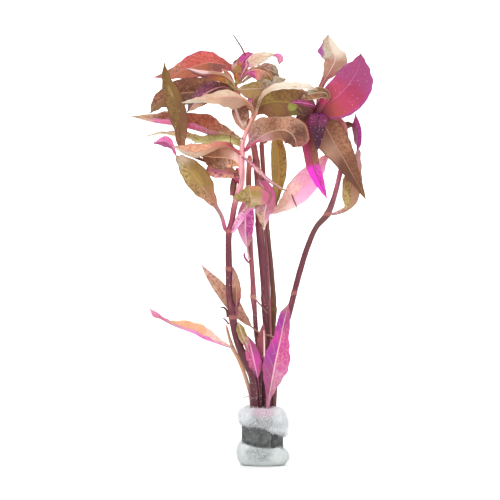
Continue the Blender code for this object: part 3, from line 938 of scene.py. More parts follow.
@dataclass(frozen=True)
class Stem:
    """One round stem.

    Attributes:
        name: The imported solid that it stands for.
        nodes: Heights of the swollen nodes.
        points: The path as (x, y, z, radius), from the foot up.
        finish: Its skin.
        slot: The record's material slot.
    """

    name: str
    nodes: tuple[float, ...]
    points: tuple[tuple[float, float, float, float], ...]
    finish: StemFinish
    slot: str = "stem_plum"

    layer = "stem_map"
    around = 20
    step = 1.1
    row_reach = 0.01
    search_steps = 200
    node_swell = 0.1
    node_reach = 0.9
    neck_depth = 0.05
    neck_gap = 2.2
    neck_reach = 1.0
    ridges = 5
    ridge_height = 0.025
    bumps = 0.03
    bump_scale = 0.22
    end_shares = (0.55, 0.85)

    def line(self) -> list[Vector]:
        """The path's points."""
        return [Vector(p[:3]) for p in self.points]

    def radius_at(self, height: float) -> float:
        """Reads the radius, without the nodes.

        Args:
            height: Above the foot of the bunch.

        Returns:
            The radius there.
        """
        for low, high in zip(self.points, self.points[1:]):
            if low[2] <= height <= high[2]:
                return low[3] + (high[3] - low[3]) * (height - low[2]) / (high[2] - low[2])
        return self.points[-1][3] if height > self.points[-1][2] else self.points[0][3]

    def nearest(self, spot: Vector) -> Vector:
        """Finds the path's point nearest to a spot.

        Args:
            spot: Any point.

        Returns:
            The nearest of many points along the path.
        """
        line = self.line()
        shares = [step / self.search_steps for step in range(self.search_steps + 1)]
        return min((on_path(line, share) for share in shares), key=lambda p: (p - spot).length)

    def build(self) -> None:
        """Builds and dresses the stem."""
        line = self.line()
        length = path_length(line)
        rows = int(length / self.step)
        frames = path_frames(line, rows, self.row_reach)

        def place(column: int, row: int) -> Vector:
            """Finds a point of the skin.

            Args:
                column: Round the stem.
                row: From the foot to the top.

            Returns:
                The point.
            """
            centre, side, front = frames[row]
            angle = math.tau * column / self.around + math.pi / 2.0
            radius = self.radius_at(centre.z)
            for node in self.nodes:
                off = centre.z - node
                swell = self.node_swell * math.exp(-((off / self.node_reach) ** 2))
                neck = self.neck_depth * math.exp(-(((off - self.neck_gap) / self.neck_reach) ** 2))
                radius *= 1.0 + swell - neck
            ridge = self.ridge_height * math.sin(self.ridges * angle)
            radius *= 1.0 + ridge + self.bumps * noise.noise(centre * self.bump_scale)
            tip = min(row, rows - row)
            radius *= self.end_shares[tip] if tip < len(self.end_shares) else 1.0
            return centre + side * (radius * math.cos(angle)) - front * (radius * math.sin(angle))

        piece = wrap_grid(f"{self.name}_skin", self.around, rows, place, self.layer)
        present(piece, self.finish.material(self.name, self.nodes, length), self.slot, self.name)


@dataclass(frozen=True)
class Rootlet:
    """A fine root, hair or stub that grows from a stem or a leaf.

    Attributes:
        name: The piece's name.
        radii: Radii spread evenly along it.
        colours: Colours from its start to its end.
        points: The path.
    """

    name: str
    radii: tuple[float, ...]
    colours: str
    points: tuple[Point, ...]

    slot = "stem_plum"
    around = 8
    rows = 24
    row_reach = 0.02
    grain_scale = 1400.0
    bump_depth = 0.0001

    def build(self) -> None:
        """Builds and dresses the rootlet."""
        frames = path_frames([Vector(p) for p in self.points], self.rows, self.row_reach)

        def place(column: int, row: int) -> Vector:
            """Finds a point of the skin.

            Args:
                column: Round the rootlet.
                row: From its start to its end.

            Returns:
                The point.
            """
            centre, side, front = frames[row]
            radius = even_value(self.radii, row / self.rows)
            angle = math.tau * column / self.around
            return centre + side * (radius * math.cos(angle)) + front * (radius * math.sin(angle))

        piece = wrap_grid(self.name, self.around, self.rows, place, Stem.layer)
        graph = Graph(self.name)
        _, v = graph.map_point(Stem.layer)
        grain = graph.clouds(self.grain_scale, 3.0)
        colour = graph.ramp(v + (grain - 0.5) * 0.3, self.colours)
        present(piece, graph.finish(colour, 0.45 + grain * 0.2, grain, self.bump_depth), self.slot)


@dataclass(frozen=True)
class FlossPlug:
    """The floss: a lumpy body in two bulges, and two coats of loose fibres.

    Attributes:
        outline: Radius and height from the middle of the top down to the middle of the foot.
        left_tilts: How much higher it sits for each millimetre to the left, from foot to top.
        right_tilts: How much lower it sits for each millimetre to the right.
        fibres: How many loose fibres each of the two coats has.
    """

    outline: tuple[tuple[float, float], ...] = (
        (0.0, 27.4), (5.0, 27.6), (7.6, 28.7), (9.4, 28.6), (11.3, 27.0), (12.4, 24.6), (12.6, 22.4),
        (12.2, 20.0), (10.6, 18.8), (8.3, 18.4), (8.2, 13.4), (8.3, 9.0), (10.6, 8.6), (12.3, 7.2),
        (12.7, 4.8), (11.9, 2.4), (10.9, 0.9), (9.6, 0.12), (5.0, 0.0), (0.0, 0.0),
    )
    left_tilts: tuple[float, ...] = (0.0, 0.28, 0.14, 0.06)
    right_tilts: tuple[float, ...] = (0.0, 0.03, 0.4, 0.1)
    fibres: int = 2600

    # Each is a colour, its middle as x and z, and its reach to the side and upwards; the grey ones are
    # painted shade above, beside and below the strip, and the rosy one is a tint.
    painted_shades_and_tints = (
        ("floss_grey", -1.0, 20.2, 14.0, 3.8),
        ("floss_grey", 7.0, 15.5, 5.0, 3.0),
        ("floss_grey", -2.0, 6.0, 7.5, 4.4),
        ("floss_grey", -0.5, 23.6, 8.0, 5.4),
        ("floss_rosy", 0.6, 27.4, 6.5, 3.6),
    )
    # Each kind of lump is how many there are to a millimetre and how high they are.
    lumps = ((0.16, 0.9), (0.5, 0.35), (1.7, 0.16))
    highest_lump = 0.7
    waist = 13.6
    waist_reach = 4.4
    waist_calm = 0.25
    foot_fade = 3.0
    middle_fade = 4.0
    around = 120
    rows = 110
    row_reach = 0.01
    slot = "floss_white"

    # The loose fibres: each starts as a share of the outline.
    quick_part = 8
    seed = 11
    spots = 7
    corners = 3
    fibre_radii = (0.02, 0.038)
    fibre_places = (0.04, 0.93)
    fibre_turn = 0.09
    fibre_drift = 0.018
    fibre_curl = 0.03
    fibre_arches = (0.15, 0.3, 0.6, 1.1)
    arch_shares = (0.5, 1.3)
    loose_part = 0.35
    least_rise = 0.02
    end_share = 0.4
    lowest = 0.08
    farthest = 13.4

    def surface(self, angle: float, share: float, lift: float = 0.0) -> Vector:
        """A point of the lumpy body.

        Args:
            angle: Round the plug, in radians.
            share: Along the outline.
            lift: How far off the body.

        Returns:
            The point.
        """
        line = [Vector((r, 0.0, z)) for r, z in self.outline]
        share = min(max(share, 0.0), 1.0)
        spot = on_path(line, share)
        step = path_step(line, share, self.row_reach)
        out = Vector((-step.z, 0.0, step.x)).normalized()
        radius = max(spot.x, 0.0)
        turned = Vector((radius * math.cos(angle), radius * math.sin(angle), spot.z))
        free = eased(0.0, self.foot_fade, spot.z) * eased(0.0, self.middle_fade, radius)
        calm = self.waist_calm if abs(spot.z - self.waist) < self.waist_reach else 1.0
        lump = sum(noise.noise(turned * scale) * rise for scale, rise in self.lumps)
        lump = min(lump, self.highest_lump) * free * calm
        radius = max(radius + out.x * (lump + lift), 0.0)
        height = spot.z + out.z * (lump + lift * free)
        x = radius * math.cos(angle)
        tilts = self.left_tilts if x < 0.0 else self.right_tilts
        rim_height = self.outline[2][1]
        height -= even_value(tilts, spot.z / rim_height) * x
        return Vector((x, radius * math.sin(angle), max(height, 0.0)))

    def build(self) -> None:
        """Builds and dresses the body and the fibres."""

        def place(column: int, row: int) -> Vector:
            """The point of a column and a row."""
            return self.surface(math.tau * column / self.around, row / self.rows)

        body = wrap_grid("floss_body", self.around, self.rows, place, "floss_map")
        graph = Graph(body.name)
        fine = graph.clouds(2600.0, 3.0)
        tuft = graph.clouds(700.0, 5.0)
        height = tuft * 0.6 + fine * 0.4
        rough = 0.9 + fine * 0.1
        colour = self.colour(graph)
        material = graph.finish(colour, rough, height, 0.0005, Specular_IOR_Level=0.15, Sheen_Weight=0.25)
        present(body, material, self.slot, "floss_plug")
        for coat in ("inner", "outer"):
            self.build_fibres(coat)

    def colour(self, graph: Graph) -> bpy.types.NodeSocket:
        """The floss's white, with painted shade round the strip, greenish at the foot and rosy round the
        stems.

        Args:
            graph: The material's graph.

        Returns:
            The colour's socket.
        """
        x, z = (axis * (1.0 / MM) for axis in graph.split(graph.place(), "XZ"))
        tuft = graph.clouds(420.0, 6.0)
        fine = graph.clouds(1500.0, 4.0)
        colour = graph.mix(tuft.step(0.42, 0.68) * 0.7, linear("floss"), linear("floss_shade"))
        colour = graph.mix(z.step(11.0, 6.0) * 0.6, colour, linear("floss_green"))
        # Grey patches of painted shade round the strip, and a rosy tint at the top.
        for name, spot_x, spot_z, reach, tall in self.painted_shades_and_tints:
            across = (x - spot_x) * (1.0 / reach)
            away = across.distance((z - spot_z) * (1.0 / tall)) + (tuft - 0.5) * 0.9
            colour = graph.mix(away.step(1.15, 0.4) * fine.step(0.3, 0.6) * 0.85, colour, linear(name))
        colour = graph.mix(graph.specks(1000.0, 0.3, 0.16) * 0.7, colour, linear("floss_grey"))
        return graph.mix(graph.specks(1300.0, 0.24, 0.16), colour, linear("white"))

    def build_fibres(self, coat: str) -> None:
        """Lays a coat of loose fibres, each a thin three-sided thread of one long grid.

        Args:
            coat: The coat's name.
        """
        chance = random.Random(f"{self.seed} {coat}")
        count = self.fibres
        tracks = [self.fibre_track(chance) for _ in range(count)]
        radii = [chance.uniform(*self.fibre_radii) for _ in range(count)]
        last = self.spots - 1
        rows = count * self.spots - 1
        threads = bmesh.new()
        bmesh.ops.create_grid(threads, x_segments=self.corners, y_segments=rows, size=1.0)
        cell = grid_cells(threads, self.corners, rows)
        joins = [f for f in threads.faces if len({cell[v][1] // self.spots for v in f.verts}) > 1]
        for vert, (column, row) in cell.items():
            fibre, index = divmod(row, self.spots)
            spots = tracks[fibre]
            ahead = (spots[min(index + 1, last)] - spots[max(index - 1, 0)]).normalized()
            side = ahead.cross(UP if abs(ahead.z) < 0.9 else BACK).normalized()
            angle = math.tau * column / self.corners
            around = side * math.cos(angle) + ahead.cross(side) * math.sin(angle)
            slim = radii[fibre] * (self.end_share if index in (0, last) else 1.0)
            vert.co = (spots[index] + around * slim) * MM
        bmesh.ops.delete(threads, geom=joins, context="FACES_ONLY")
        bmesh.ops.delete(threads, geom=[e for e in threads.edges if not e.link_faces], context="EDGES")
        close_skin(threads)
        piece = link_mesh(f"floss_fibres_{coat}", threads)
        graph = Graph(piece.name)
        shade = graph.clouds(900.0, 2.0)
        # The fibres take the floss's colours, its painted shade included, mixed with white.
        colour = graph.mix(0.3 + shade.step(0.35, 0.75) * 0.7, linear("fibre"), self.colour(graph))
        present(piece, graph.finish(colour, 0.7 + shade * 0.2, shade, 0.00002), self.slot)

    def fibre_track(self, chance: random.Random) -> list[Vector]:
        """Draws one loose fibre.

        Args:
            chance: Where the random numbers come from.

        Returns:
            Its points, from its root in the body to its free end.
        """
        angle = chance.uniform(0.0, math.tau)
        share = chance.uniform(*self.fibre_places)
        turn = chance.uniform(-self.fibre_turn, self.fibre_turn)
        drift = chance.uniform(-self.fibre_drift, self.fibre_drift)
        curl = chance.uniform(-self.fibre_curl, self.fibre_curl)
        arch = chance.choice(self.fibre_arches) * chance.uniform(*self.arch_shares)
        loose = chance.random() < self.loose_part
        track = []
        for step in range(self.spots):
            reach = step / (self.spots - 1)
            rise = arch * (reach if loose else math.sin(math.pi * reach)) + self.least_rise
            spot = self.surface(angle, share, rise)
            track.append(Vector((spot.x, min(spot.y, self.farthest), max(spot.z, self.lowest))))
            angle += turn
            share += drift
            drift += curl * 0.2
            turn += curl * 0.3
        return track


@dataclass(frozen=True)
class MetalStrip:
    """The soft metal strip, wrapped a little over once round the floss.

    Attributes:
        thickness: Of the metal.
        height: Of the strip.
        middle: Height of its middle line.
        outer_end: Angle of the outer end, at the front.
        turn: How far round it goes.
        radius: Of the inner end's middle line.
        pitch: How far it grows outwards in one turn.
        climb: How much higher the outer end is than the inner one.
        lean: How much lower it is for each millimetre to the right.
    """

    thickness: float = 0.8
    height: float = 8.0
    middle: float = 13.9
    outer_end: float = -68.0
    turn: float = 414.0
    radius: float = 9.3
    pitch: float = 1.15
    climb: float = 2.2
    lean: float = 0.11

    layer = "strip_map"
    rows = 170
    across = 14
    rounded_end = 14.0
    least_taper = 0.02
    flare = 0.18
    # Each kind of crease is its depth, how many along a degree and up the strip, and a place in the noise.
    creases = ((0.16, 0.09, 1.2, 3.0), (0.07, 0.3, 3.0, 8.0))
    wobble = 0.25
    wobble_scale = 0.05
    # Bands along the strip, by where each starts and stops: painted shade beside the lapped outer end, and a
    # painted shadow line where that end lies over.
    lap_shade = ((0.66, 0.76), (0.868, 0.874))
    lap_shadow_line = ((0.82, 0.866), (0.866, 0.87))

    def point(self, level: float, turned: float, outer: bool) -> Vector:
        """Finds a point of the strip's skin.

        Args:
            level: Up the strip, from -1 to 1.
            turned: Degrees from the outer end.
            outer: Whether it is on the outer face.

        Returns:
            The point.
        """
        end = min(turned, self.turn - turned)
        taper = math.sqrt(max(1.0 - (1.0 - min(end / self.rounded_end, 1.0)) ** 2, self.least_taper))
        angle = math.radians(self.outer_end - turned)
        grown = self.radius + self.pitch * (self.turn - turned) / 360.0
        crease = sum(
            depth * noise.noise(Vector((turned * along, level * up, place)))
            for depth, along, up, place in self.creases
        )
        edge = math.sqrt(max(1.0 - level**6, 0.0))
        grown += crease + self.flare * level * level + (0.5 if outer else -0.5) * self.thickness * edge
        x = grown * math.cos(angle)
        drop = self.climb * (0.5 - turned / self.turn) - self.lean * x
        where = Vector((turned * self.wobble_scale, 0.0 if level > 0 else 5.0, 1.0))
        rise = self.height / 2.0 * taper + self.wobble * noise.noise(where)
        return Vector((x, grown * math.sin(angle), self.middle + drop + level * rise))

    def build(self) -> None:
        """Builds and dresses the strip."""
        half = self.across

        def place(column: int, row: int) -> Vector:
            """The point of a column and a row; the columns go up the outer face and down the inner one."""
            reach = min(column, 2 * half - column) / half
            return self.point(-math.cos(math.pi * reach), self.turn * row / self.rows, column <= half)

        def map_point(column: int, row: int, second: bool) -> tuple[float, float]:
            """The share along the strip and the share up it."""
            return row / self.rows, (2 * half - column if second else column) / half

        piece = wrap_grid("metal_strip_band", 2 * half, self.rows, place, self.layer, map_point)
        graph = Graph(piece.name)
        u, v = graph.map_point(self.layer)
        scuff = graph.clouds(1.0, 5.0, graph.joined(u * 60.0, v * 5.0))
        patina = graph.clouds(300.0, 4.0)
        grain = graph.clouds(1700.0, 3.0)
        colour = graph.mix(patina.step(0.42, 0.62) * 0.7, linear("lead"), linear("lead_dark"))
        colour = graph.mix(scuff.step(0.52, 0.7) * 0.5, colour, linear("lead_light"))
        # Painted shade beside the lapped outer end, and a painted shadow line where that end lies over the
        # layer beneath.
        colour = graph.mix(u.band(*self.lap_shade) * 0.3, colour, linear("lead_dark"))
        colour = graph.mix(u.band(*self.lap_shadow_line) * 0.6, colour, linear("lead_shadow_black"))
        # Lighter along both long edges; the lightening at the outer end is a painted highlight.
        rim = (v - 0.5).size().step(0.44, 0.5) + u.step(0.012, 0.0)
        colour = graph.mix(rim * 0.5, colour, linear("lead_light"))
        height = scuff * 0.5 + patina * 0.3 + grain * 0.2
        rough = 0.5 + patina * 0.25
        material = graph.finish(colour, rough, height, 0.0003, Metallic=0.55, Specular_IOR_Level=0.4)
        present(piece, material, "strip_grey", "metal_strip")


STEMS: tuple[Stem, ...] = (
    Stem(
        "stem_left", (74.0, 98.0, 117.0, 156.0, 167.0),
        ((-4.3, -3.9, 22.4, 1.95), (-4.4, -4.0, 32.0, 2.0), (-4.9, -4.2, 42.5, 2.0),
         (-7.6, -4.6, 50.0, 2.0), (-11.0, -5.0, 57.5, 2.05), (-13.4, -5.2, 65.0, 2.0),
         (-15.2, -5.2, 74.0, 1.95), (-16.6, -5.4, 85.0, 1.8), (-17.0, -5.6, 98.0, 1.75),
         (-17.2, -5.8, 112.0, 1.55), (-16.8, -5.9, 117.0, 1.75), (-15.5, -6.2, 122.0, 1.45),
         (-14.1, -6.5, 130.0, 1.5), (-10.9, -6.9, 141.0, 1.7), (-10.7, -7.0, 150.0, 1.6),
         (-10.6, -7.0, 156.0, 1.7), (-10.0, -7.0, 161.0, 1.1), (-8.4, -7.0, 166.0, 1.1),
         (-6.0, -7.0, 171.0, 1.1), (-4.6, -7.0, 176.0, 1.3)),
        StemFinish(
            "aubergine plum plum stem_plum stem_plum stem_plum stem_crimson pale_pink pale_pink peach"),
    ),
    Stem(
        "stem_left_thin", (58.0, 69.0),
        ((-5.4, 0.6, 22.4, 0.8), (-6.2, 0.4, 34.0, 0.9), (-7.9, 0.2, 41.0, 1.05), (-10.2, -0.4, 48.0, 1.1),
         (-12.8, -0.8, 54.0, 1.0), (-14.9, -1.2, 58.0, 1.1), (-16.9, -1.4, 64.0, 0.8),
         (-18.4, -1.4, 70.0, 0.6)),
        StemFinish("brown ash_rose sand peach sand tan", ring="peach", streak="brown"),
    ),
    Stem(
        "stem_front", (84.0, 112.5),
        ((-2.0, -1.2, 22.4, 1.35), (-1.8, -1.0, 38.0, 1.3), (-1.6, -0.4, 52.0, 1.25),
         (-3.4, 0.2, 66.0, 1.2), (-4.2, 0.2, 77.5, 1.2), (-4.8, 0.0, 84.0, 1.6), (-5.1, 0.0, 92.0, 1.25),
         (-5.8, 0.0, 102.0, 1.25), (-6.5, 0.4, 112.5, 1.4), (-6.6, 1.4, 128.0, 1.35),
         (-7.2, 2.4, 142.0, 1.45), (-6.6, 3.4, 155.0, 1.3)),
        StemFinish("plum plum stem_plum stem_rose stem_rose brown salmon", ring="sand"),
    ),
    Stem(
        "stem_middle", (83.5, 120.0, 152.0, 187.0),
        ((0.4, 3.2, 22.4, 1.5), (0.3, 2.6, 38.0, 1.6), (0.8, 2.0, 50.0, 1.7), (1.8, 1.5, 64.0, 1.85),
         (1.4, 1.5, 74.0, 1.8), (1.0, 1.5, 83.5, 2.05), (0.8, 1.6, 90.0, 2.0), (-0.4, 2.0, 104.0, 2.0),
         (-1.8, 2.6, 120.0, 2.0), (-2.2, 4.0, 138.0, 1.9), (-3.4, 4.6, 152.0, 1.75),
         (-6.0, 4.2, 166.0, 1.5), (-9.6, 2.6, 178.0, 1.2), (-13.2, 0.6, 187.0, 1.4),
         (-13.5, 0.4, 190.4, 0.9)),
        StemFinish(
            "aubergine plum plum stem_plum stem_plum stem_rose dusky_brown dusky_brown salmon",
            ring="stem_brown"),
    ),
    Stem(
        "stem_middle_thin", (64.5,),
        ((3.2, -3.2, 22.4, 0.7), (2.8, -2.0, 34.0, 0.7), (3.6, 0.8, 46.0, 0.7), (4.0, 3.0, 56.0, 0.7),
         (3.6, 3.9, 64.5, 0.9), (3.3, 4.2, 76.0, 0.65), (2.8, 4.4, 92.0, 0.65), (2.0, 4.8, 106.0, 0.6),
         (0.8, 5.4, 118.0, 0.55)),
        StemFinish("dusky_rose salmon dusky_rose stem_rose", ring="sand"),
    ),
    Stem(
        "stem_back", (77.5, 116.0),
        ((3.6, 4.4, 22.4, 1.25), (3.6, 5.2, 38.0, 1.25), (4.4, 6.0, 56.0, 1.25), (5.2, 6.6, 70.0, 1.3),
         (5.4, 6.8, 77.5, 1.65), (5.0, 6.9, 88.0, 1.3), (4.0, 7.0, 100.0, 1.25), (2.4, 7.0, 116.0, 1.25),
         (1.0, 7.0, 134.0, 1.2), (0.0, 6.8, 150.0, 1.15), (-0.8, 6.4, 162.0, 1.3)),
        StemFinish(
            "stem_brown stem_brown brown stem_brown dusky_brown dusky_brown", ring="olive", streak="umber"),
        slot="stem_pale",
    ),
    Stem(
        "stem_right", (86.0, 125.5),
        ((5.3, 0.6, 22.4, 1.3), (5.6, 0.4, 34.0, 1.35), (7.0, 0.2, 48.0, 1.35), (9.9, 0.0, 64.0, 1.45),
         (13.4, 0.0, 77.0, 1.5), (15.6, 0.2, 86.0, 1.5), (18.5, 0.4, 97.0, 1.5), (22.1, 0.6, 108.5, 1.45),
         (26.4, 0.8, 118.5, 1.35), (32.2, 0.8, 125.5, 1.7), (35.6, 1.4, 134.0, 1.3),
         (38.4, 2.4, 145.0, 1.25), (41.0, 3.4, 158.0, 1.2), (41.6, 3.8, 166.0, 1.15),
         (39.4, 3.8, 172.0, 1.15), (33.0, 2.6, 175.6, 1.15), (27.6, 1.2, 178.0, 1.4)),
        StemFinish("stem_brown stem_brown stem_plum stem_plum stem_plum stem_brown dusky_rose salmon plum"),
    ),
)

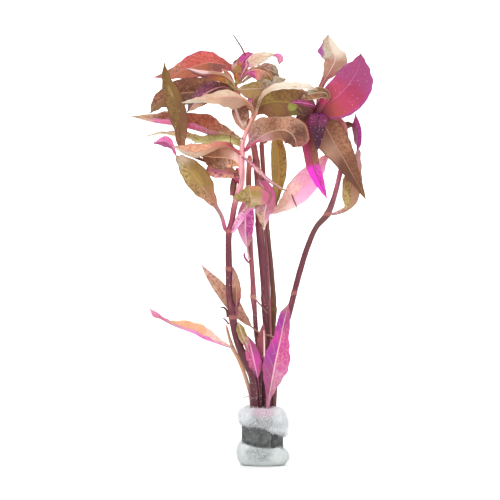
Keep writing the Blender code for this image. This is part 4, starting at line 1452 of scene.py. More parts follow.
LEAVES: tuple[Leaf, ...] = (
    Leaf(
        "leaf_left_top", "leaf_orange", (15, 10, 10, 10),
        ((-12, 2.2, 191.6), (-13, 2.4, 195.6), (-15.5, 2.8, 199.2), (-20.5, 4.5, 200.8),
         (-26.6, 6.5, 201.7), (-32.6, 8.5, 200.5), (-39.7, 8.8, 198), (-47.7, 8.4, 195.5),
         (-55.2, 7.6, 194.2)),
        LeafFinish(
            "amber brick coral coral tan taupe", rib="salmon",
            half="amber brick umber rust rust terracotta ash_rose", edge="crimson", patch="rust"),
        fold=12,
        widths=(0.7, 2.0, 3.4, 5.0, 6.4, 6.9, 6.2, 4.6, 2.9, 1.4, 0.2),
        plus_widths=(0.7, 0.8, 1.2, 3.2, 5.6, 6.7, 6.2, 4.6, 2.9, 1.4, 0.2),
    ),
    Leaf(
        "leaf_left_top_folded", "leaf_rose", (20, 20, 20, 20),
        ((-14.2, -1.4, 187.9), (-16, -2.4, 191.4), (-19.5, -3.6, 193.8), (-25.4, -5, 194.7),
         (-31.4, -6, 195.4), (-38.4, -6.6, 197.9)),
        LeafFinish(
            "lime khaki amber rust maroon maroon ash_rose", under="lime amber rose blush", rib="maroon",
            half="+hay sand fawn stem_rose thistle blush",
            spots=(("blush", 0.8, 0.8, 0.28), ("tan", 0.8, 0.45, 0.14))),
        fold=30,
        widths=(0.9, 3.2, 4.4, 4.0, 2.6, 1.6, 0.2),
        plus_widths=(0.9, 1.4, 2.0, 2.1, 1.9, 1.4, 0.2),
    ),
    Leaf(
        "leaf_left_brown", "leaf_brown", (15, 10, 5, 20),
        ((-15.4, 1.2, 187.4), (-24, 3, 187.4), (-32, 3.8, 186.6), (-42, 4.2, 186), (-51.6, 4, 182.5),
         (-56.5, 3.4, 176.0)),
        LeafFinish(
            "brown tan hazel brown hazel fawn khaki", under="magenta violet", rib="tan",
            half="umber umber umber brown bronze bronze", edge="umber", patch="umber", patches=0.6),
        fold=12,
        widths=(0.8, 0.9, 2.8, 4.9, 6.3, 6.5, 6.4, 5.8, 5.0, 3.4, 0.2),
        plus_widths=(0.8, 2.4, 5.4, 7.2, 7.5, 7.4, 6.8, 5.6, 4.1, 2.4, 0.2),
    ),
    Leaf(
        "leaf_left_purple", "leaf_plum", (190, 190, 185, 180),
        ((-16, -0.6, 188.5), (-20.5, -1.2, 188.9), (-26.5, -1.6, 186.9), (-32.5, -2, 182.4),
         (-37.9, -2.4, 176.4)),
        LeafFinish(
            "brown umber", under="maroon umber grape grape umber umber", rib="pale_pink",
            half="+fawn umber umber brown sand sand", specks=0.25, shade="plum"),
        fold=12,
        widths=(0.8, 3.0, 4.6, 4.9, 4.2, 2.6, 0.3),
    ),
    Leaf(
        "leaf_left_hanging", "leaf_olive", (20, 10, 5, 15, 25),
        ((-13, -5, 145.9), (-22, -3, 149.4), (-31.9, -3.6, 153.1), (-38.4, -4.4, 156.4), (-40.9, -5, 161.1),
         (-40.9, -5.4, 167.3), (-42.1, -5.8, 173.7), (-43.9, -5.8, 179.7), (-45.6, -5.6, 184.7),
         (-47.4, -5.4, 189.7), (-48.6, -4.8, 194.7), (-49.4, -4, 201.2)),
        LeafFinish(
            "maroon umber brown hazel bronze olive bronze bronze", rib="olive",
            half="+brown hazel fawn brown bronze bronze", edge="umber", patch="umber", patches=0.5,
            specks=0.1, spots=(("khaki", 0.0, 0.8, 0.05),)),
        fold=12,
        widths=(0.7, 0.7, 0.7, 0.9, 1.6, 3.0, 4.5, 4.8, 4.2, 2.3, 0.2),
    ),
    Leaf(
        "leaf_left_long", "leaf_orange", (50, 50, 52, 60),
        ((-11, -5, 162.8), (-15, -4, 164.3), (-19, -2.4, 165.2), (-26.5, 0.4, 165.5), (-31.5, 1.8, 167.1),
         (-38.1, 3.2, 168.9), (-45.6, 4.6, 170.4), (-51.7, 5, 171.2), (-56.7, 5, 172.2),
         (-61.7, 4.8, 173.5), (-65.7, 4.2, 174.7)),
        LeafFinish(
            "sand fawn terracotta terracotta terracotta tan sand hay",
            under="ivory sand thistle pink hot_pink pink pink sand sand", rib="peach", shade="brown"),
        fold=25, bend=(42, 0),
        widths=(0.7, 1.8, 4.6, 9.0, 9.6, 7.9, 7.5, 7.2, 5.2, 2.8, 0.2),
        plus_widths=(0.7, 2.6, 6.2, 10.4, 11.0, 9.2, 8.6, 8.0, 5.6, 3.2, 0.2),
    ),
    Leaf(
        "leaf_left_narrow", "leaf_green", (50, 50, 52, 56),
        ((-11, -6.2, 158.8), (-14.5, -4.6, 161.3), (-19, -3, 162.9), (-25.5, -1, 162.7),
         (-31.5, 0.6, 162.5), (-36.5, 1.4, 164.1), (-41.6, 2.2, 165.3), (-47.6, 2.8, 165.7),
         (-51.6, 2.8, 166.1), (-54.6, 2.6, 165.3), (-58.1, 2.4, 164.7)),
        LeafFinish(
            "hay pale_lime pale_lime pale_lime ivory ivory", under="lime tan lime sage", rib="cream",
            half="lime pale_lime lime pale_lime pale_lime ivory", patch="terracotta", patches=0.25,
            shade="olive"),
        fold=20,
        widths=(0.8, 5.6, 6.4, 5.4, 4.8, 4.4, 3.6, 2.6, 1.6, 0.9, 0.15),
        plus_widths=(0.8, 4.8, 4.8, 3.7, 3.0, 2.7, 2.9, 2.6, 1.6, 0.9, 0.15),
    ),
    Leaf(
        "leaf_left_wavy", "leaf_orange", (65, 65, 65),
        ((-11, -8, 154.7), (-14, -9.4, 156.9), (-17.4, -10.4, 158.6), (-21.4, -11, 158.4),
         (-25.4, -11.6, 156.6), (-29.8, -12, 154.6), (-33.8, -12, 153.7), (-37.8, -11.8, 154.7),
         (-41.2, -11.4, 156.7), (-44.7, -10.6, 159.1)),
        LeafFinish(
            "crimson brick salmon peach peach peach sand",
            under="crimson dusky_rose tan sand cream cream ivory", rib="coral", edge="coral", patch="rust",
            patches=0.3, shade="tan"),
        fold=45, bend=(10, 0),
        widths=(0.9, 0.9, 1.1, 2.4, 3.8, 5.0, 6.4, 7.2, 5.8, 3.0, 0.2),
        plus_widths=(0.9, 1.6, 2.6, 3.8, 4.8, 6.2, 7.6, 8.6, 7.4, 4.2, 0.2),
    ),
    Leaf(
        "leaf_left_red", "leaf_brown", (20, 15, 10),
        ((-11.5, -7.4, 149.3), (-15, -8, 152.3), (-19.9, -8.4, 153.5), (-25.4, -8.2, 153.7),
         (-30.9, -7.8, 154.3)),
        LeafFinish(
            "peach peach taupe hazel brown brown", rib="peach", half="+blush blush tan hazel hazel brown",
            patches=0.7),
        fold=14,
        widths=(1.0, 4.8, 6.6, 6.8, 4.8, 0.4),
        plus_widths=(1.0, 4.2, 5.2, 5.0, 3.6, 0.4),
    ),
    Leaf(
        "leaf_left_fold", "leaf_rose", (20, 20),
        ((-12, -8, 143.8), (-15.9, -8.2, 145.3), (-20.4, -7.8, 146.5), (-25.4, -7.2, 146.8),
         (-28.2, -7, 148.0)),
        LeafFinish(
            "tan peach peach pale_pink peach tan", under="pink rose", rib="lilac",
            half="+brown hazel tan ash_rose tan", patches=0.5),
        fold=30,
        widths=(0.9, 2.6, 4.0, 4.8, 4.9, 3.8, 1.8),
    ),
    Leaf(
        "leaf_left_olive", "leaf_olive", (15, 10, 5, 5, 10, 10, 15, 20, 150, 180, 180),
        ((-18.9, -6.6, 117.6), (-20.8, -8, 124.5), (-25, -9.4, 131.5), (-29.4, -10.2, 138),
         (-33.8, -10.4, 144), (-38.8, -10, 150), (-43.2, -9.4, 154.4), (-45.2, -8.8, 158.4),
         (-48.6, -8.6, 161.4), (-54.5, -8.8, 160.6)),
        LeafFinish(
            "rose ash_rose tan khaki hay sage grape grape", under="hot_pink hot_pink hot_pink lilac",
            rib="tan", half="+rose ash_rose fawn olive olive cream mauve mauve", edge="bronze",
            patch="bronze", spots=(("cream", -0.1, 0.68, 0.05), ("gold", 0.0, 0.5, 0.1))),
        fold=16,
        widths=(1.1, 1.1, 1.1, 3.2, 5.8, 6.4, 5.6, 2.8, 1.0, 3.0, 0.5),
    ),
    Leaf(
        "leaf_front_green", "leaf_green", (0, 0, 0),
        ((-15, -7.4, 117), (-11.5, -9, 122.9), (-8.5, -11, 126.9), (-6.5, -13.6, 129.5), (-6, -17, 133.2),
         (-6.5, -19.4, 136.6), (-7.5, -20.4, 139.3)),
        LeafFinish(
            "lilac orchid orchid sand khaki hay gold", under="lilac pink", rib="sand",
            half="+orchid orchid lilac lilac sand gold salmon", edge="bronze", patch="bronze",
            spots=(("rose", 0.95, 0.78, 0.12), ("fern", 0.4, 0.6, 0.07), ("brown", 0.8, 0.62, 0.05))),
        fold=8,
        widths=(1.1, 1.6, 2.0, 2.0, 1.8, 1.8, 3.0, 6.8, 9.4, 9.0, 1.4),
        plus_widths=(1.1, 1.6, 2.0, 2.0, 1.8, 1.8, 3.4, 9.4, 10.2, 6.8, 0.8),
    ),
    Leaf(
        "leaf_front_cream", "leaf_cream", (42, 42, 40, 38),
        ((-4.8, -7.4, 172.2), (-5, -9, 176.6), (-8, -9.8, 181), (-12.5, -10.4, 183.2),
         (-18.4, -10.6, 183.5), (-24.4, -10.2, 182.7), (-31.3, -9.6, 181.8), (-40.3, -8.8, 180.7)),
        LeafFinish(
            "peach tan sand cream sand cream ivory", under="peach salmon cream sand", rib="salmon",
            half="tan hazel taupe taupe sand sage ivory", patch="sand", shade="tan"),
        fold=20, bend=(-48, 0),
        widths=(0.9, 0.9, 1.6, 5.4, 6.8, 5.6, 3.4, 2.0, 1.2, 0.8, 0.2),
        plus_widths=(0.9, 0.9, 0.9, 1.3, 3.1, 4.4, 3.6, 2.8, 2.0, 1.3, 0.2),
    ),
    Leaf(
        "leaf_front_tan", "leaf_cream", (0, 0, 0),
        ((-8, -5.6, 166.8), (-11, -5.6, 170.3), (-13, -5.8, 174.7), (-14.2, -6, 178.7),
         (-14.7, -6.2, 181.7)),
        LeafFinish(
            "sand cream hazel brown brown brown", under="pink peach", half="peach tan tan brown umber",
            patches=0.6),
        fold=20,
        widths=(0.8, 1.8, 2.4, 2.4, 1.8, 0.4),
        plus_widths=(0.8, 2.8, 6.0, 6.6, 5.6, 0.6),
    ),
    Leaf(
        "leaf_front_bud", "leaf_rose", (10, 10),
        ((-5.3, -6.6, 175.7), (-5.3, -6.2, 178.7), (-6, -6, 181.2), (-7.5, -5.8, 183)),
        LeafFinish("lime khaki rose rose_red rose mauve", under="pink"),
        fold=20,
        widths=(0.8, 3.0, 4.0, 3.0, 0.5),
        plus_widths=(0.8, 1.4, 2.2, 1.8, 0.4),
    ),
    Leaf(
        "leaf_front_olive", "leaf_olive", (-4, 0, 0, 0),
        ((-4.5, -7, 174.2), (-3, -7.4, 177.7), (-0, -8, 180.1), (5.9, -8.4, 181.3), (12.4, -8, 180.9),
         (17.4, -7.4, 178.6), (20.4, -6.6, 174.7)),
        LeafFinish(
            "tan bronze gold bronze olive umber aubergine", under="pink magenta", rib="gold",
            half="+fawn brown brown bronze brown umber plum", edge="tan", patches=0.5,
            spots=(("fern", 0.15, 0.76, 0.08), ("moss", 0.75, 0.85, 0.12))),
        fold=8,
        widths=(0.8, 1.2, 5.0, 6.2, 6.6, 6.8, 7.6, 8.6, 8.8, 6.4, 0.5),
        plus_widths=(0.8, 4.2, 9.0, 9.6, 9.8, 9.9, 9.8, 9.2, 7.6, 4.8, 0.3),
    ),
    Leaf(
        "leaf_front_brown", "leaf_brown", (-15, -12, -10, -10),
        ((-8.5, -8.4, 157.2), (-5.5, -9, 160.2), (-2, -9.6, 162.9), (2.4, -10, 165.6), (7.9, -10, 167.1),
         (12.9, -9.4, 166.1), (15.9, -8.4, 162.7), (16.4, -7.6, 158.7)),
        LeafFinish(
            "crimson ash_rose taupe hazel tan umber dusky_brown", under="magenta pink", rib="sand",
            half="+wine crimson ash_rose hazel brown umber brown", edge="tan", patches=0.35),
        fold=18, wave=0.6,
        widths=(1.1, 2.0, 5.6, 8.6, 8.6, 7.2, 6.6, 7.8, 8.6, 7.4, 3.2),
        plus_widths=(1.1, 1.2, 1.4, 3.2, 4.6, 5.2, 5.4, 6.2, 6.6, 5.0, 2.0),
    ),
    Leaf(
        "leaf_front_strap", "leaf_rose", (-45, -45, -45),
        ((-10, -8.9, 153.7), (-6.5, -10.6, 150.7), (-2.5, -11.2, 146.7), (2.4, -11.4, 142.2),
         (8.4, -10.8, 138.3), (11.9, -10.4, 136.8)),
        LeafFinish("dusky_rose rose pale_pink thistle tan fawn", under="pink blush"),
        fold=16,
        widths=(0.8, 1.4, 1.6, 1.4, 1.0, 0.3),
    ),
    Leaf(
        "leaf_center_olive", "leaf_olive", (10, 5, 0, -10),
        ((1.2, 5.4, 161.4), (4, 3.4, 164.4), (6.6, 1.6, 162.4), (7.8, 0.6, 156), (8, 0.2, 147),
         (7.4, 0, 138), (6.6, 0, 129.6)),
        LeafFinish(
            "tan gold gold gold olive moss", rib="ochre", half="+tan hay gold olive gold bronze",
            edge="bronze", patch="bronze", patches=0.5),
        fold=14,
        widths=(0.6, 0.9, 3.2, 4.0, 4.1, 3.9, 2.9, 1.6, 0.3),
    ),
    Leaf(
        "leaf_center_rose", "leaf_rose", (190, 195, 200),
        ((0.5, 0.6, 119), (0.5, -2.6, 125), (1.5, -4.8, 130.9), (0.5, -5.6, 137.4), (-3, -5.8, 142.4)),
        LeafFinish(
            "tan olive", under="sand sand ash_rose dusky_rose dusky_rose stem_rose",
            half="blush thistle dusky_rose rose rose dusky_rose"),
        fold=16,
        widths=(0.9, 2.8, 4.6, 5.6, 5.8, 4.6, 0.8),
    ),
    Leaf(
        "leaf_center_magenta", "leaf_magenta", (170, 175, 185),
        ((-7.2, -1.8, 103.0), (-8, -3, 110), (-8.8, -4, 118), (-8.6, -4.6, 125), (-7.6, -4.6, 131),
         (-6.4, -4.2, 137)),
        LeafFinish(
            "rose crimson", under="blush ash_rose magenta magenta magenta magenta",
            half="+shell orchid thistle thistle dusky_rose"),
        fold=26, half_width=4.6, peak=0.48,
    ),
    Leaf(
        "leaf_center_pale_pink", "leaf_pale_pink", (-20, -15, -10, -15),
        ((4.2, 6.0, 126.4), (7, 5, 127.6), (12, 3.6, 131), (18, 2.6, 137), (25, 2.2, 145.4), (33, 2.4, 156)),
        LeafFinish(
            "blush cream blush orchid shell pale_pink", under="pale_pink pink", rib="pale_pink",
            half="+blush shell orchid orchid orchid blush", patch="peach", specks=0.02, shade="salmon"),
        fold=12,
        widths=(1.2, 2.2, 3.8, 5.3, 6.3, 6.6, 6.3, 5.4, 4.0, 2.2, 0.2),
    ),
    Leaf(
        "leaf_crown_grey_green", "leaf_green", (-10, -10, -10),
        ((-13, -0.4, 187.5), (-6.5, 0, 188.2), (-0.5, 0.6, 188.5), (5, 1, 190.1), (11.5, 1, 193.1)),
        LeafFinish(
            "cream khaki hay sage sage sage", under="olive moss", rib="cream",
            half="+fawn khaki khaki hazel khaki olive", edge="moss", patch="fern", patches=0.3),
        fold=14,
        widths=(0.8, 2.4, 3.4, 4.4, 5.0, 4.2, 0.5),
        plus_widths=(0.8, 5.0, 6.4, 6.0, 4.6, 2.8, 0.3),
    ),
    Leaf(
        "leaf_crown_top_cream", "leaf_cream", (-25, -25, -25, -25, -25, -25, -30, -60, -150, -178, -180),
        ((-10, 2.2, 197.1), (-6.5, 1.2, 201.3), (-2.5, 0.2, 203.5), (2, -0.8, 204.2), (6, -1.6, 204.4),
         (8.5, -2, 203.4), (8, -2.4, 199.9)),
        LeafFinish(
            "peach blush cream ivory cream sand", under="sand tan thistle magenta lilac thistle",
            rib="sand", patch="sand", shade="tan"),
        fold=22,
        widths=(0.7, 1.0, 2.2, 2.8, 2.9, 2.6, 2.2, 1.8, 1.6, 1.8, 0.2),
        plus_widths=(0.7, 1.4, 3.6, 4.8, 5.2, 4.6, 3.2, 2.0, 1.6, 1.8, 0.2),
    ),
    Leaf(
        "leaf_crown_magenta", "leaf_magenta", (180, 185, 190),
        ((-12.5, 3, 194.7), (-11.5, 4, 198.7), (-10, 5, 202.3), (-8, 5.4, 204.8), (-4.7, 5.6, 206.1)),
        LeafFinish("rose crimson", under="tan fawn rose magenta rose magenta", rib="lilac", specks=0.2),
        fold=14,
        widths=(0.7, 1.8, 2.8, 3.2, 2.6, 1.8, 0.3),
    ),
    Leaf(
        "leaf_crown_tan", "leaf_cream", (20, 10),
        ((-12.5, 0.6, 193), (-14, 0.8, 196.5), (-14, 0.6, 200), (-12, 0, 203.5)),
        LeafFinish("amber tan tan blush dusky_rose fawn", under="pink", rib="peach"),
        fold=18,
        widths=(0.7, 1.4, 1.8, 1.6, 0.3),
    ),
    Leaf(
        "leaf_crown_orange", "leaf_orange", (10, -10),
        ((-13, -1.2, 190.9), (-13.2, -3.2, 194.8), (-12.2, -4.4, 198.2), (-10.7, -4.8, 201.2)),
        LeafFinish("lime ochre terracotta fawn khaki rust ochre", under="amber", rib="ochre", patch="rust"),
        fold=24,
        widths=(0.7, 1.5, 2.0, 1.6, 0.3),
    ),
    Leaf(
        "leaf_crown_pink", "leaf_rose", (-20, -30),
        ((-11, 0.2, 193.5), (-9.5, -0.4, 197), (-8.2, -1, 199.4), (-7.7, -1.6, 202.4)),
        LeafFinish("rose rose rose pink dusky_rose", under="magenta"),
        fold=16,
        widths=(0.6, 1.2, 1.6, 1.4, 0.2),
    ),
    Leaf(
        "leaf_crown_arching", "leaf_magenta", (175, 175, 175),
        ((-10, -1.6, 193.4), (-7.7, -4.2, 196.3), (-3.5, -5.8, 197.4), (0.5, -6.2, 196.6),
         (3.5, -6.2, 194.1), (4.5, -6, 191.2)),
        LeafFinish(
            "peach tan olive tan", under="taupe rose magenta salmon taupe bronze bronze", rib="peach",
            half="+tan fawn fawn brown fawn brown", edge="tan"),
        fold=20,
        widths=(0.7, 1.6, 4.6, 6.2, 5.0, 3.0, 0.3),
        plus_widths=(0.7, 0.8, 1.4, 1.6, 1.6, 1.4, 0.3),
    ),
    Leaf(
        "leaf_crown_brown_tip", "leaf_brown", (-20, -20, -20),
        ((-10, 2.4, 191.6), (-6, 3, 194.7), (-1, 3.4, 197.2), (3.5, 3.2, 197.7), (8, 2.8, 194.7)),
        LeafFinish(
            "sand cream cream cream cream sage bronze", under="tan brown", rib="cream",
            half="+cream taupe hazel hazel bronze umber", edge="tan"),
        fold=16,
        widths=(0.7, 0.9, 1.6, 3.0, 3.6, 3.0, 0.4),
    ),
    Leaf(
        "leaf_crown_stalk_left", "leaf_cream", (20, 20),
        ((-14.5, -1.6, 190.4), (-16.5, -2.4, 193.9), (-18.5, -2.6, 196.3), (-20.5, -2.4, 197.6)),
        LeafFinish("tan sand fawn tan tan cream", under="amber peach", rib="salmon"),
        fold=18,
        widths=(0.7, 0.9, 1.1, 0.9, 0.3),
    ),
    Leaf(
        "leaf_right_top_magenta", "leaf_magenta", (165, 170, 172, 178),
        ((28.5, -1.4, 178.4), (32.4, -2.6, 180.4), (38.4, -3.8, 185.3), (44.3, -4.6, 192.2),
         (47.8, -4.8, 199.2), (48.8, -4.4, 205.7)),
        LeafFinish(
            "brown plum", under="brown brick rose_red mauve mauve mauve", rib="rose",
            half="maroon brick rose_red wine mauve mauve mauve", edge="violet", specks=0.2, shade="wine"),
        fold=10,
        widths=(3.4, 8.2, 10.4, 11.6, 12.2, 12.0, 11.4, 9.8, 6.4, 2.7, 0.2),
        plus_widths=(3.2, 6.8, 8.0, 8.3, 8.4, 8.3, 8.1, 7.6, 6.0, 3.2, 0.2),
    ),
    Leaf(
        "leaf_right_top_cream", "leaf_cream", (-10, -10, 0, 10),
        ((28.6, 2.9, 188.2), (31.1, 2.8, 193.2), (34.1, 2.6, 198.2), (36.1, 2.2, 203.1), (34.5, 1.4, 208.1),
         (33, 0.6, 212), (32.5, -0.2, 215.5)),
        LeafFinish(
            "brick stem_rose taupe taupe sage sage sage", under="magenta violet",
            half="+brick stem_rose dusky_brown taupe ivory ivory ivory", patch="tan", specks=0.02,
            shade="tan", spots=(("violet", -1.0, 0.79, 0.12),)),
        fold=16,
        widths=(1.4, 1.5, 1.8, 3.0, 4.6, 5.4, 6.0, 6.8, 7.8, 3.4, 0.2),
        plus_widths=(1.4, 1.5, 1.8, 3.6, 5.6, 6.8, 6.0, 3.8, 2.8, 2.0, 0.2),
    ),
    Leaf(
        "leaf_right_curl", "leaf_cream", (0, 20, 20),
        ((29, -1.6, 179.4), (31.9, -4, 182.3), (31.8, -6, 185.2), (28.3, -7.4, 186.1), (23.8, -8, 185.1),
         (18.9, -8.2, 182.8)),
        LeafFinish(
            "brick fawn brown hazel fawn olive", under="cream tan", rib="cream",
            half="+brick fawn brown bronze sage tan", edge="cream", patches=0.7),
        fold=30,
        widths=(0.7, 1.2, 2.4, 4.2, 5.2, 4.2, 0.5),
        plus_widths=(0.7, 0.8, 1.4, 2.4, 2.8, 2.2, 0.3),
    ),
    Leaf(
        "leaf_right_cream", "leaf_cream", (-48, -48, -48),
        ((-3.8, -8.6, 173.6), (-2.5, -10, 179), (-0.5, -10.6, 183.5), (3.4, -10.6, 186.7),
         (9.4, -10.2, 188.2), (16.4, -9.2, 188.3), (22.3, -8.6, 188), (27.3, -8, 187.1)),
        LeafFinish(
            "salmon brown sand ivory ivory ivory taupe", under="ochre amber cream", rib="cream",
            patch="sand", patches=0.1, shade="cream"),
        fold=10,
        widths=(0.9, 1.0, 1.8, 3.0, 3.8, 3.8, 3.2, 0.5),
        plus_widths=(0.9, 0.9, 1.0, 1.6, 1.8, 1.8, 1.6, 0.4),
    ),
    Leaf(
        "leaf_right_bud", "leaf_magenta", (20, 20),
        ((26.5, -2, 178.9), (23.3, -8, 179.9), (19.8, -10.4, 180.5), (16.3, -11, 180.8),
         (12.9, -11.2, 180.9)),
        LeafFinish("plum mulberry wine mulberry wine", under="crimson magenta", rib="lilac"),
        fold=24,
        widths=(0.7, 1.6, 2.1, 1.5, 0.2),
    ),
    Leaf(
        "leaf_right_dark", "leaf_plum", (150, 155, 160),
        ((27.5, 0.4, 176.5), (24, -1.4, 175.9), (20.5, -2.6, 174.9), (16.5, -3, 173.4)),
        LeafFinish("umber plum", under="maroon maroon umber umber umber", rib="brown", specks=0.12),
        fold=14,
        widths=(1.6, 6.8, 7.4, 5.0, 0.5),
    ),
    Leaf(
        "leaf_right_speckled", "leaf_plum", (5, 0, -5),
        ((28.5, -1.6, 176.4), (27.4, -5, 171.8), (27.1, -7, 166.2), (27.1, -8, 157)),
        LeafFinish(
            "violet mauve mulberry aubergine aubergine aubergine aubergine", under="magenta",
            rib="aubergine", patch="mulberry", patches=0.2, specks=0.45, shade="blackberry"),
        fold=14,
        widths=(0.8, 4.6, 5.0, 4.0, 3.0, 1.8, 0.2),
    ),
    Leaf(
        "leaf_right_neon", "leaf_magenta", (10, 5, 5, 0),
        ((27, -1.6, 176.4), (23.9, -3, 169.4), (22.9, -4.4, 162.3), (23.9, -5.4, 155.3),
         (25.1, -5.8, 148.8), (27.9, -5.8, 141.9), (31.9, -5.4, 132.9)),
        LeafFinish(
            "plum plum maroon brown brown hazel fuchsia neon fuchsia fuchsia", under="neon neon",
            rib="wine", half="+plum plum plum mulberry mulberry wine neon neon neon lilac", patch="wine",
            patches=0.25, spots=(("wine", 0.95, 0.28, 0.3),)),
        fold=14,
        widths=(0.8, 2.6, 3.6, 3.8, 3.8, 3.7, 3.5, 3.2, 2.6, 1.5, 0.2),
    ),
    Leaf(
        "leaf_right_brown", "leaf_brown", (-12, -10, -10, -12),
        ((29, 0, 176.5), (31.5, -0.6, 169), (35.5, -1.4, 161.4), (39.9, -2.2, 153.9), (43.9, -2.6, 146.4),
         (47.9, -2.6, 139.4), (51.4, -2.4, 132.5)),
        LeafFinish(
            "brown hazel fawn brown brown bronze", under="magenta pink", rib="tan",
            half="+brown brown taupe umber umber bronze", edge="umber", patches=0.6),
        fold=14,
        widths=(0.8, 4.6, 7.4, 7.9, 7.4, 6.4, 5.2, 4.0, 2.7, 1.4, 0.2),
        plus_widths=(0.8, 5.4, 8.6, 9.2, 8.0, 6.4, 5.2, 4.0, 2.7, 1.4, 0.2),
    ),
    Leaf(
        "leaf_right_olive", "leaf_olive", (0, 5, 15, 60, 130, 150),
        ((34.7, 0.6, 125.4), (38, 1.2, 126.2), (42, 2, 128), (44.2, 2.4, 133), (45, 2.6, 141),
         (46.6, 3, 152), (47.4, 3.2, 163), (46.4, 3.4, 176)),
        LeafFinish(
            "pale_pink hay khaki hazel fawn magenta", under="violet thistle magenta violet violet magenta",
            rib="tan", half="+ash_rose taupe taupe ash_rose grape magenta", edge="bronze"),
        fold=16,
        widths=(0.8, 1.8, 5.2, 6.0, 4.8, 3.6, 3.0, 2.4, 0.2),
        plus_widths=(0.8, 0.9, 3.6, 4.6, 4.0, 3.8, 5.0, 4.2, 0.2),
    ),
    Leaf(
        "leaf_right_small_green", "leaf_green", (-50, -50, -50),
        ((29.6, 4.2, 174.7), (34.7, 6.6, 171.8), (40.8, 8.2, 169.6), (46.8, 8.6, 171.1)),
        LeafFinish("brown brown moss umber umber", under="moss olive", rib="olive", patch="umber"),
        fold=16,
        widths=(0.7, 1.6, 3.2, 3.4, 0.3),
    ),
    Leaf(
        "leaf_low_left_narrow", "leaf_orange", (50, 50, 50, 50, 50, 50, 50, 60, 120, 170, 175),
        ((-15.5, -2.4, 58.6), (-20.5, -3.2, 60.1), (-25.4, -4, 61.9), (-29.9, -4.6, 63.6),
         (-33.9, -5, 65.9), (-39.4, -5, 67.9), (-43.9, -5, 69.6), (-47.9, -4.8, 71.6), (-52.9, -4.4, 74.8),
         (-56.9, -4, 78.8)),
        LeafFinish(
            "blush shell peach peach hay khaki", under="thistle lilac fuchsia lilac thistle rose lilac",
            rib="peach", patch="gold", patches=0.12, shade="sand"),
        fold=25, bend=(42, 0),
        widths=(0.8, 2.2, 4.4, 6.4, 6.3, 5.8, 4.9, 2.6, 1.3, 2.0, 0.2),
    ),
    Leaf(
        "leaf_low_rosy", "leaf_rose", (60, 40, 15, 15, 15),
        ((5.3, 2.6, 63.4), (4.9, 0.4, 63.8), (2.8, -1.6, 64.8), (-1, -2.4, 65.8), (-5, -2.6, 68.5),
         (-10.5, -2, 74), (-16.6, -1.4, 82), (-22.6, -1.2, 89.5), (-28, -1.2, 96.2), (-30.9, -1.2, 100.5)),
        LeafFinish(
            "sand tan taupe sand sand sand blush", under="pink rose", rib="salmon", edge="olive",
            patch="dusky_rose"),
        fold=14, half_width=3.8, stalk=0.28,
    ),
    Leaf(
        "leaf_low_salmon", "leaf_rose", (10, 15, 10),
        ((-13.2, -6.2, 75.4), (-13.2, -6.4, 80), (-13.2, -6.6, 86.5), (-13.9, -6.6, 93.5),
         (-15, -6.8, 99.5)),
        LeafFinish(
            "mauve plum brown tan ash_rose dusky_brown", under="magenta", rib="tan",
            half="+mauve plum dusky_brown taupe taupe taupe", patch="dusky_rose",
            spots=(("magenta", 0.0, 0.18, 0.07),)),
        fold=16, half_width=2.4, stalk=0.12,
    ),
    Leaf(
        "leaf_low_green", "leaf_green", (10, 5),
        ((-7, -7, 56.2), (-8.2, -8.6, 60.3), (-10.5, -9.6, 65.8), (-12.5, -9.4, 72.2)),
        LeafFinish("rose rose tan khaki gold sage", under="lime", rib="cream", edge="sage", patch="olive"),
        fold=16,
        widths=(0.7, 1.4, 2.3, 2.2, 0.3),
    ),
    Leaf(
        "leaf_low_magenta", "leaf_magenta", (175, 180, 185),
        ((-1.6, -3.0, 33.5), (-2.4, -4.6, 42), (-4, -7, 50), (-5.8, -7.8, 58), (-7.5, -7.8, 64.8)),
        LeafFinish(
            "rose crimson", under="plum plum mauve rose rose rose", rib="orchid",
            half="plum plum rose magenta mauve mauve"),
        fold=18, half_width=3.8, stalk=0.3, peak=0.5,
    ),
    Leaf(
        "leaf_low_plum", "leaf_plum", (180, 175),
        ((-1.2, -2.6, 48), (-1, -4, 53), (-0.8, -4.8, 59), (-0.4, -5, 65), (0.2, -5, 71.4)),
        LeafFinish(
            "plum umber", under="dusky_rose dusky_rose stem_rose dusky_brown dusky_brown", rib="mauve",
            specks=0.2),
        fold=16, half_width=2.5, stalk=0.2,
    ),
    Leaf(
        "leaf_low_large_pink", "leaf_magenta", (-24, -22, -20, -20),
        ((2.2, -5.4, 28.3), (2.7, -6.2, 32.8), (3.9, -7.4, 39.8), (5.4, -8.2, 47.8), (6.9, -8.6, 55.3),
         (8.7, -8.6, 63.3), (10.4, -8.2, 71.7), (12.7, -7.4, 80.9)),
        LeafFinish(
            "thistle ash_rose thistle rose rose mauve dusky_rose", under="magenta violet",
            half="ash_rose mauve mauve violet magenta violet dusky_rose", patch="magenta", patches=0.3,
            shade="magenta", spots=(("fern", -0.6, 0.96, 0.03),)),
        fold=16,
        widths=(0.9, 1.3, 2.9, 5.0, 6.3, 6.3, 4.7, 3.5, 3.5, 3.0, 0.2),
        plus_widths=(0.9, 1.3, 3.4, 6.0, 8.4, 8.4, 6.4, 4.6, 4.0, 2.5, 0.2),
    ),
)

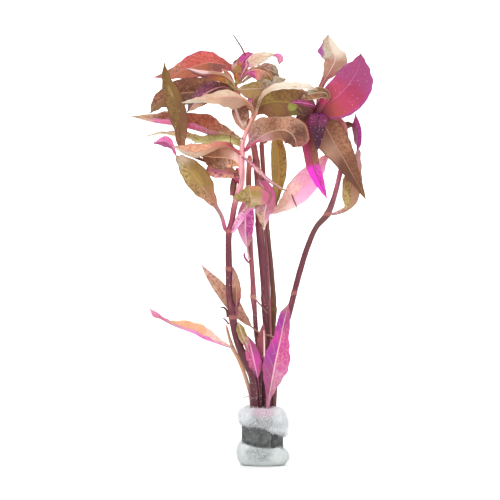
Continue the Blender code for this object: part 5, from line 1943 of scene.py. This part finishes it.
ROOTLETS: tuple[Rootlet, ...] = (
    Rootlet(
        "hair_top", (0.5, 0.42, 0.38, 0.26), "wine stem_brown umber umber",
        ((-9, 5, 205.5), (-11, 5, 209.5), (-13, 5, 212.6), (-15.4, 5, 216.2)),
    ),
    Rootlet(
        "hair_loop", (0.16, 0.2, 0.22, 0.2), "umber umber brown umber",
        ((-9.6, -9, 162.0), (-12.6, -9.6, 167.0), (-15.7, -10, 165.2), (-16.3, -10.2, 162.2),
         (-15.4, -10.2, 158.8), (-13.6, -9.8, 156.4)),
    ),
    Rootlet(
        "hair_middle", (0.36, 0.3, 0.2), "stem_rose stem_brown brown",
        ((14.4, 2.2, 135.2), (15.4, 1.6, 132.4), (16.8, 1.2, 129.4), (17.4, 1.0, 127.2)),
    ),
    Rootlet(
        "hair_hook", (0.7, 0.62, 0.55, 0.3), "stem_brown umber umber",
        ((-17.6, -4.6, 74.0), (-18.0, -4.8, 76.8), (-19.2, -4.8, 78.6), (-21.4, -4.6, 79.0)),
    ),
    Rootlet(
        "hair_spike", (0.5, 0.45, 0.3), "stem_rose stem_brown umber",
        ((-17.0, -3.6, 70.4), (-18.4, -3.2, 72.2), (-20.0, -3.0, 73.8)),
    ),
    Rootlet(
        "hair_base", (0.3, 0.24, 0.18), "sand stem_brown",
        ((-5.6, -3.8, 33.6), (-7.6, -5.4, 34.6), (-9.4, -5.8, 34.0), (-10.4, -5.8, 33.6)),
    ),
    Rootlet(
        "stub_front", (0.55, 0.45, 0.4, 0.4), "sand dusky_rose stem_brown dusky_brown",
        ((-4.6, -0.6, 84.2), (-2.6, -2.0, 81.6), (0.0, -2.4, 78.6), (2.0, -1.4, 76.0)),
    ),
    Rootlet(
        "stub_front_left", (0.45, 0.3, 0.15), "sand sand stem_brown",
        ((-5.2, -0.8, 84.0), (-6.4, -1.4, 84.2), (-7.4, -1.6, 84.8)),
    ),
    Rootlet(
        "bract_middle", (0.5, 0.6, 0.5, 0.2), "dusky_rose mauve mauve lilac",
        ((-7.0, -1.6, 101.0), (-8.6, -2.6, 103.0), (-9.4, -3.0, 105.0), (-8.6, -3.2, 107.0)),
    ),
    Rootlet(
        "stalk_pale", (0.35, 0.35, 0.25), "blush shell blush",
        ((0.6, -8.0, 54.5), (0.6, -7.8, 60.0), (0.4, -5.6, 67.5)),
    ),
    Rootlet(
        "stub_upper", (0.6, 0.8, 0.4), "maroon crimson maroon",
        ((-11.6, -7.4, 140.4), (-13.6, -8.4, 143.0), (-14.0, -8.6, 146.0)),
    ),
    Rootlet(
        "stub_dark", (1.0, 1.6, 1.7, 1.2), "crimson maroon brown stem_rose",
        ((-12.4, -6.4, 148.2), (-13.8, -6.0, 144.0), (-14.8, -5.6, 139.5), (-15.4, -5.4, 134.5)),
    ),
    Rootlet(
        "bud_right", (1.6, 2.4, 2.2, 0.5), "aubergine maroon crimson maroon",
        ((26.6, -1.0, 175.0), (28.6, -2.2, 179.0), (30.6, -3.0, 183.0), (31.6, -3.0, 187.0)),
    ),
    Rootlet(
        "stub_left", (0.7, 0.4, 0.3, 0.3), "salmon maroon maroon",
        ((-16.0, -6.4, 117.4), (-13.6, -7.0, 119.2), (-11.4, -7.0, 120.6), (-9.4, -6.4, 121.2)),
    ),
)


@dataclass(frozen=True)
class Bunch:
    """The whole bunch: holder, stems, leaves and rootlets."""

    plug: FlossPlug = FlossPlug()
    strip: MetalStrip = MetalStrip()
    stems: tuple[Stem, ...] = STEMS
    leaves: tuple[Leaf, ...] = LEAVES
    rootlets: tuple[Rootlet, ...] = ROOTLETS

    def root_of(self, leaf: Leaf) -> Vector:
        """The point inside the nearest stem that a leaf's stalk grows from."""
        start = Vector(leaf.midrib[0])
        return min((stem.nearest(start) for stem in self.stems), key=lambda p: (p - start).length)

    def build(self) -> None:
        """Builds every piece in order."""
        self.plug.build()
        self.strip.build()
        for stem in self.stems:
            stem.build()
        for leaf in self.leaves:
            leaf.build(self.root_of(leaf))
        for rootlet in self.rootlets:
            rootlet.build()


@dataclass(frozen=True)
class Lamp:
    """One square lamp; its lengths are metres and its power is watts.

    Attributes:
        name: The lamp's name.
        place: Where it stands.
        size: Its side.
        power: Its power.
        target: What it is aimed at.
    """

    name: str
    place: Point
    size: float
    power: float
    target: Point = (0.0, 0.0, 0.12)

    def build(self) -> None:
        """Hangs the lamp and aims it."""
        light = bpy.data.lights.new(self.name, "AREA")
        light.size = self.size
        light.energy = self.power
        lamp = bpy.data.objects.new(self.name, light)
        lamp.location = self.place
        aim = Vector(self.target) - Vector(self.place)
        lamp.rotation_euler = aim.to_track_quat("-Z", "Y").to_euler()
        bpy.context.scene.collection.objects.link(lamp)


@dataclass(frozen=True)
class Studio:
    """The pale sweep, the lights and the camera, in metres.

    Attributes:
        view_distance: From the camera to the bunch.
        view_width: The width seen at the bunch.
        view_centre: The point at the picture's middle.
        ambient: How strong the even white light from all round is.
        lamps: A soft key from the upper left, a fill, a back light and a wash on the sweep.
    """

    view_distance: float = 1.5
    view_width: float = 0.25
    view_centre: Point = (-0.0065, 0.0, 0.1075)
    ambient: float = 0.76
    lamps: tuple[Lamp, ...] = (
        Lamp("key", (-0.7, -0.8, 1.2), 0.6, 9.4),
        Lamp("fill", (0.9, -0.9, 0.4), 0.8, 3.6),
        Lamp("back", (0.2, 0.9, 0.9), 0.8, 9.5),
        Lamp("wash", (0.0, 1.4, 1.3), 1.2, 36.0, (0.0, 2.6, 0.5)),
    )

    sweep_half_width = 2.5
    sweep_section = ((-3.0, 0.0), (2.0, 0.0), (2.4, 0.12), (2.6, 0.5), (2.6, 3.0))
    paper = (0.9, 0.9, 0.9)
    paper_shade = (0.86, 0.86, 0.86)
    sensor_width = 36.0
    nearest_view = 0.05

    def build(self) -> None:
        """Sets the stage."""
        self.build_sweep()
        self.build_world()
        for lamp in self.lamps:
            lamp.build()
        self.build_camera()

    def build_sweep(self) -> None:
        """A floor that curves up behind the bunch."""
        sweep = bmesh.new()
        corners = [sweep.verts.new((-self.sweep_half_width, y, z)) for y, z in self.sweep_section]
        edges = [sweep.edges.new(pair) for pair in zip(corners, corners[1:])]
        made = bmesh.ops.extrude_edge_only(sweep, edges=edges)["geom"]
        moved = [part for part in made if isinstance(part, bmesh.types.BMVert)]
        bmesh.ops.translate(sweep, verts=moved, vec=(2.0 * self.sweep_half_width, 0.0, 0.0))
        bmesh.ops.recalc_face_normals(sweep, faces=sweep.faces)
        piece = link_mesh("sweep", sweep)
        graph = Graph(piece.name)
        mottle = graph.clouds(8.0, 2.0)
        colour = graph.mix(mottle * 0.1, self.paper, self.paper_shade)
        piece.data.materials.append(graph.finish(colour, 0.8 + mottle * 0.1, mottle, 0.0001))

    def build_world(self) -> None:
        """Lights the bunch evenly from all round."""
        world = bpy.data.worlds.new("studio")
        bpy.context.scene.world = world
        world.use_nodes = True
        background = world.node_tree.nodes["Background"]
        background.inputs["Color"].default_value = (1.0, 1.0, 1.0, 1.0)
        background.inputs["Strength"].default_value = self.ambient

    def build_camera(self) -> None:
        """A long lens, level with the middle of the bunch."""
        data = bpy.data.cameras.new("camera")
        data.sensor_width = self.sensor_width
        data.lens = data.sensor_width * self.view_distance / self.view_width
        data.clip_start = self.nearest_view
        camera = bpy.data.objects.new("camera", data)
        camera.location = Vector(self.view_centre) - BACK * self.view_distance
        camera.rotation_euler = (math.pi / 2.0, 0.0, 0.0)
        bpy.context.scene.collection.objects.link(camera)
        bpy.context.scene.camera = camera


def main() -> None:
    """Builds the bunch and its stage."""
    logging.basicConfig(level=logging.INFO, format="%(name)s %(message)s")
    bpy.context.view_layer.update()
    Bunch().build()
    Studio().build()
    bpy.context.scene.view_settings.view_transform = "Standard"


if __name__ == "__main__":
    main()
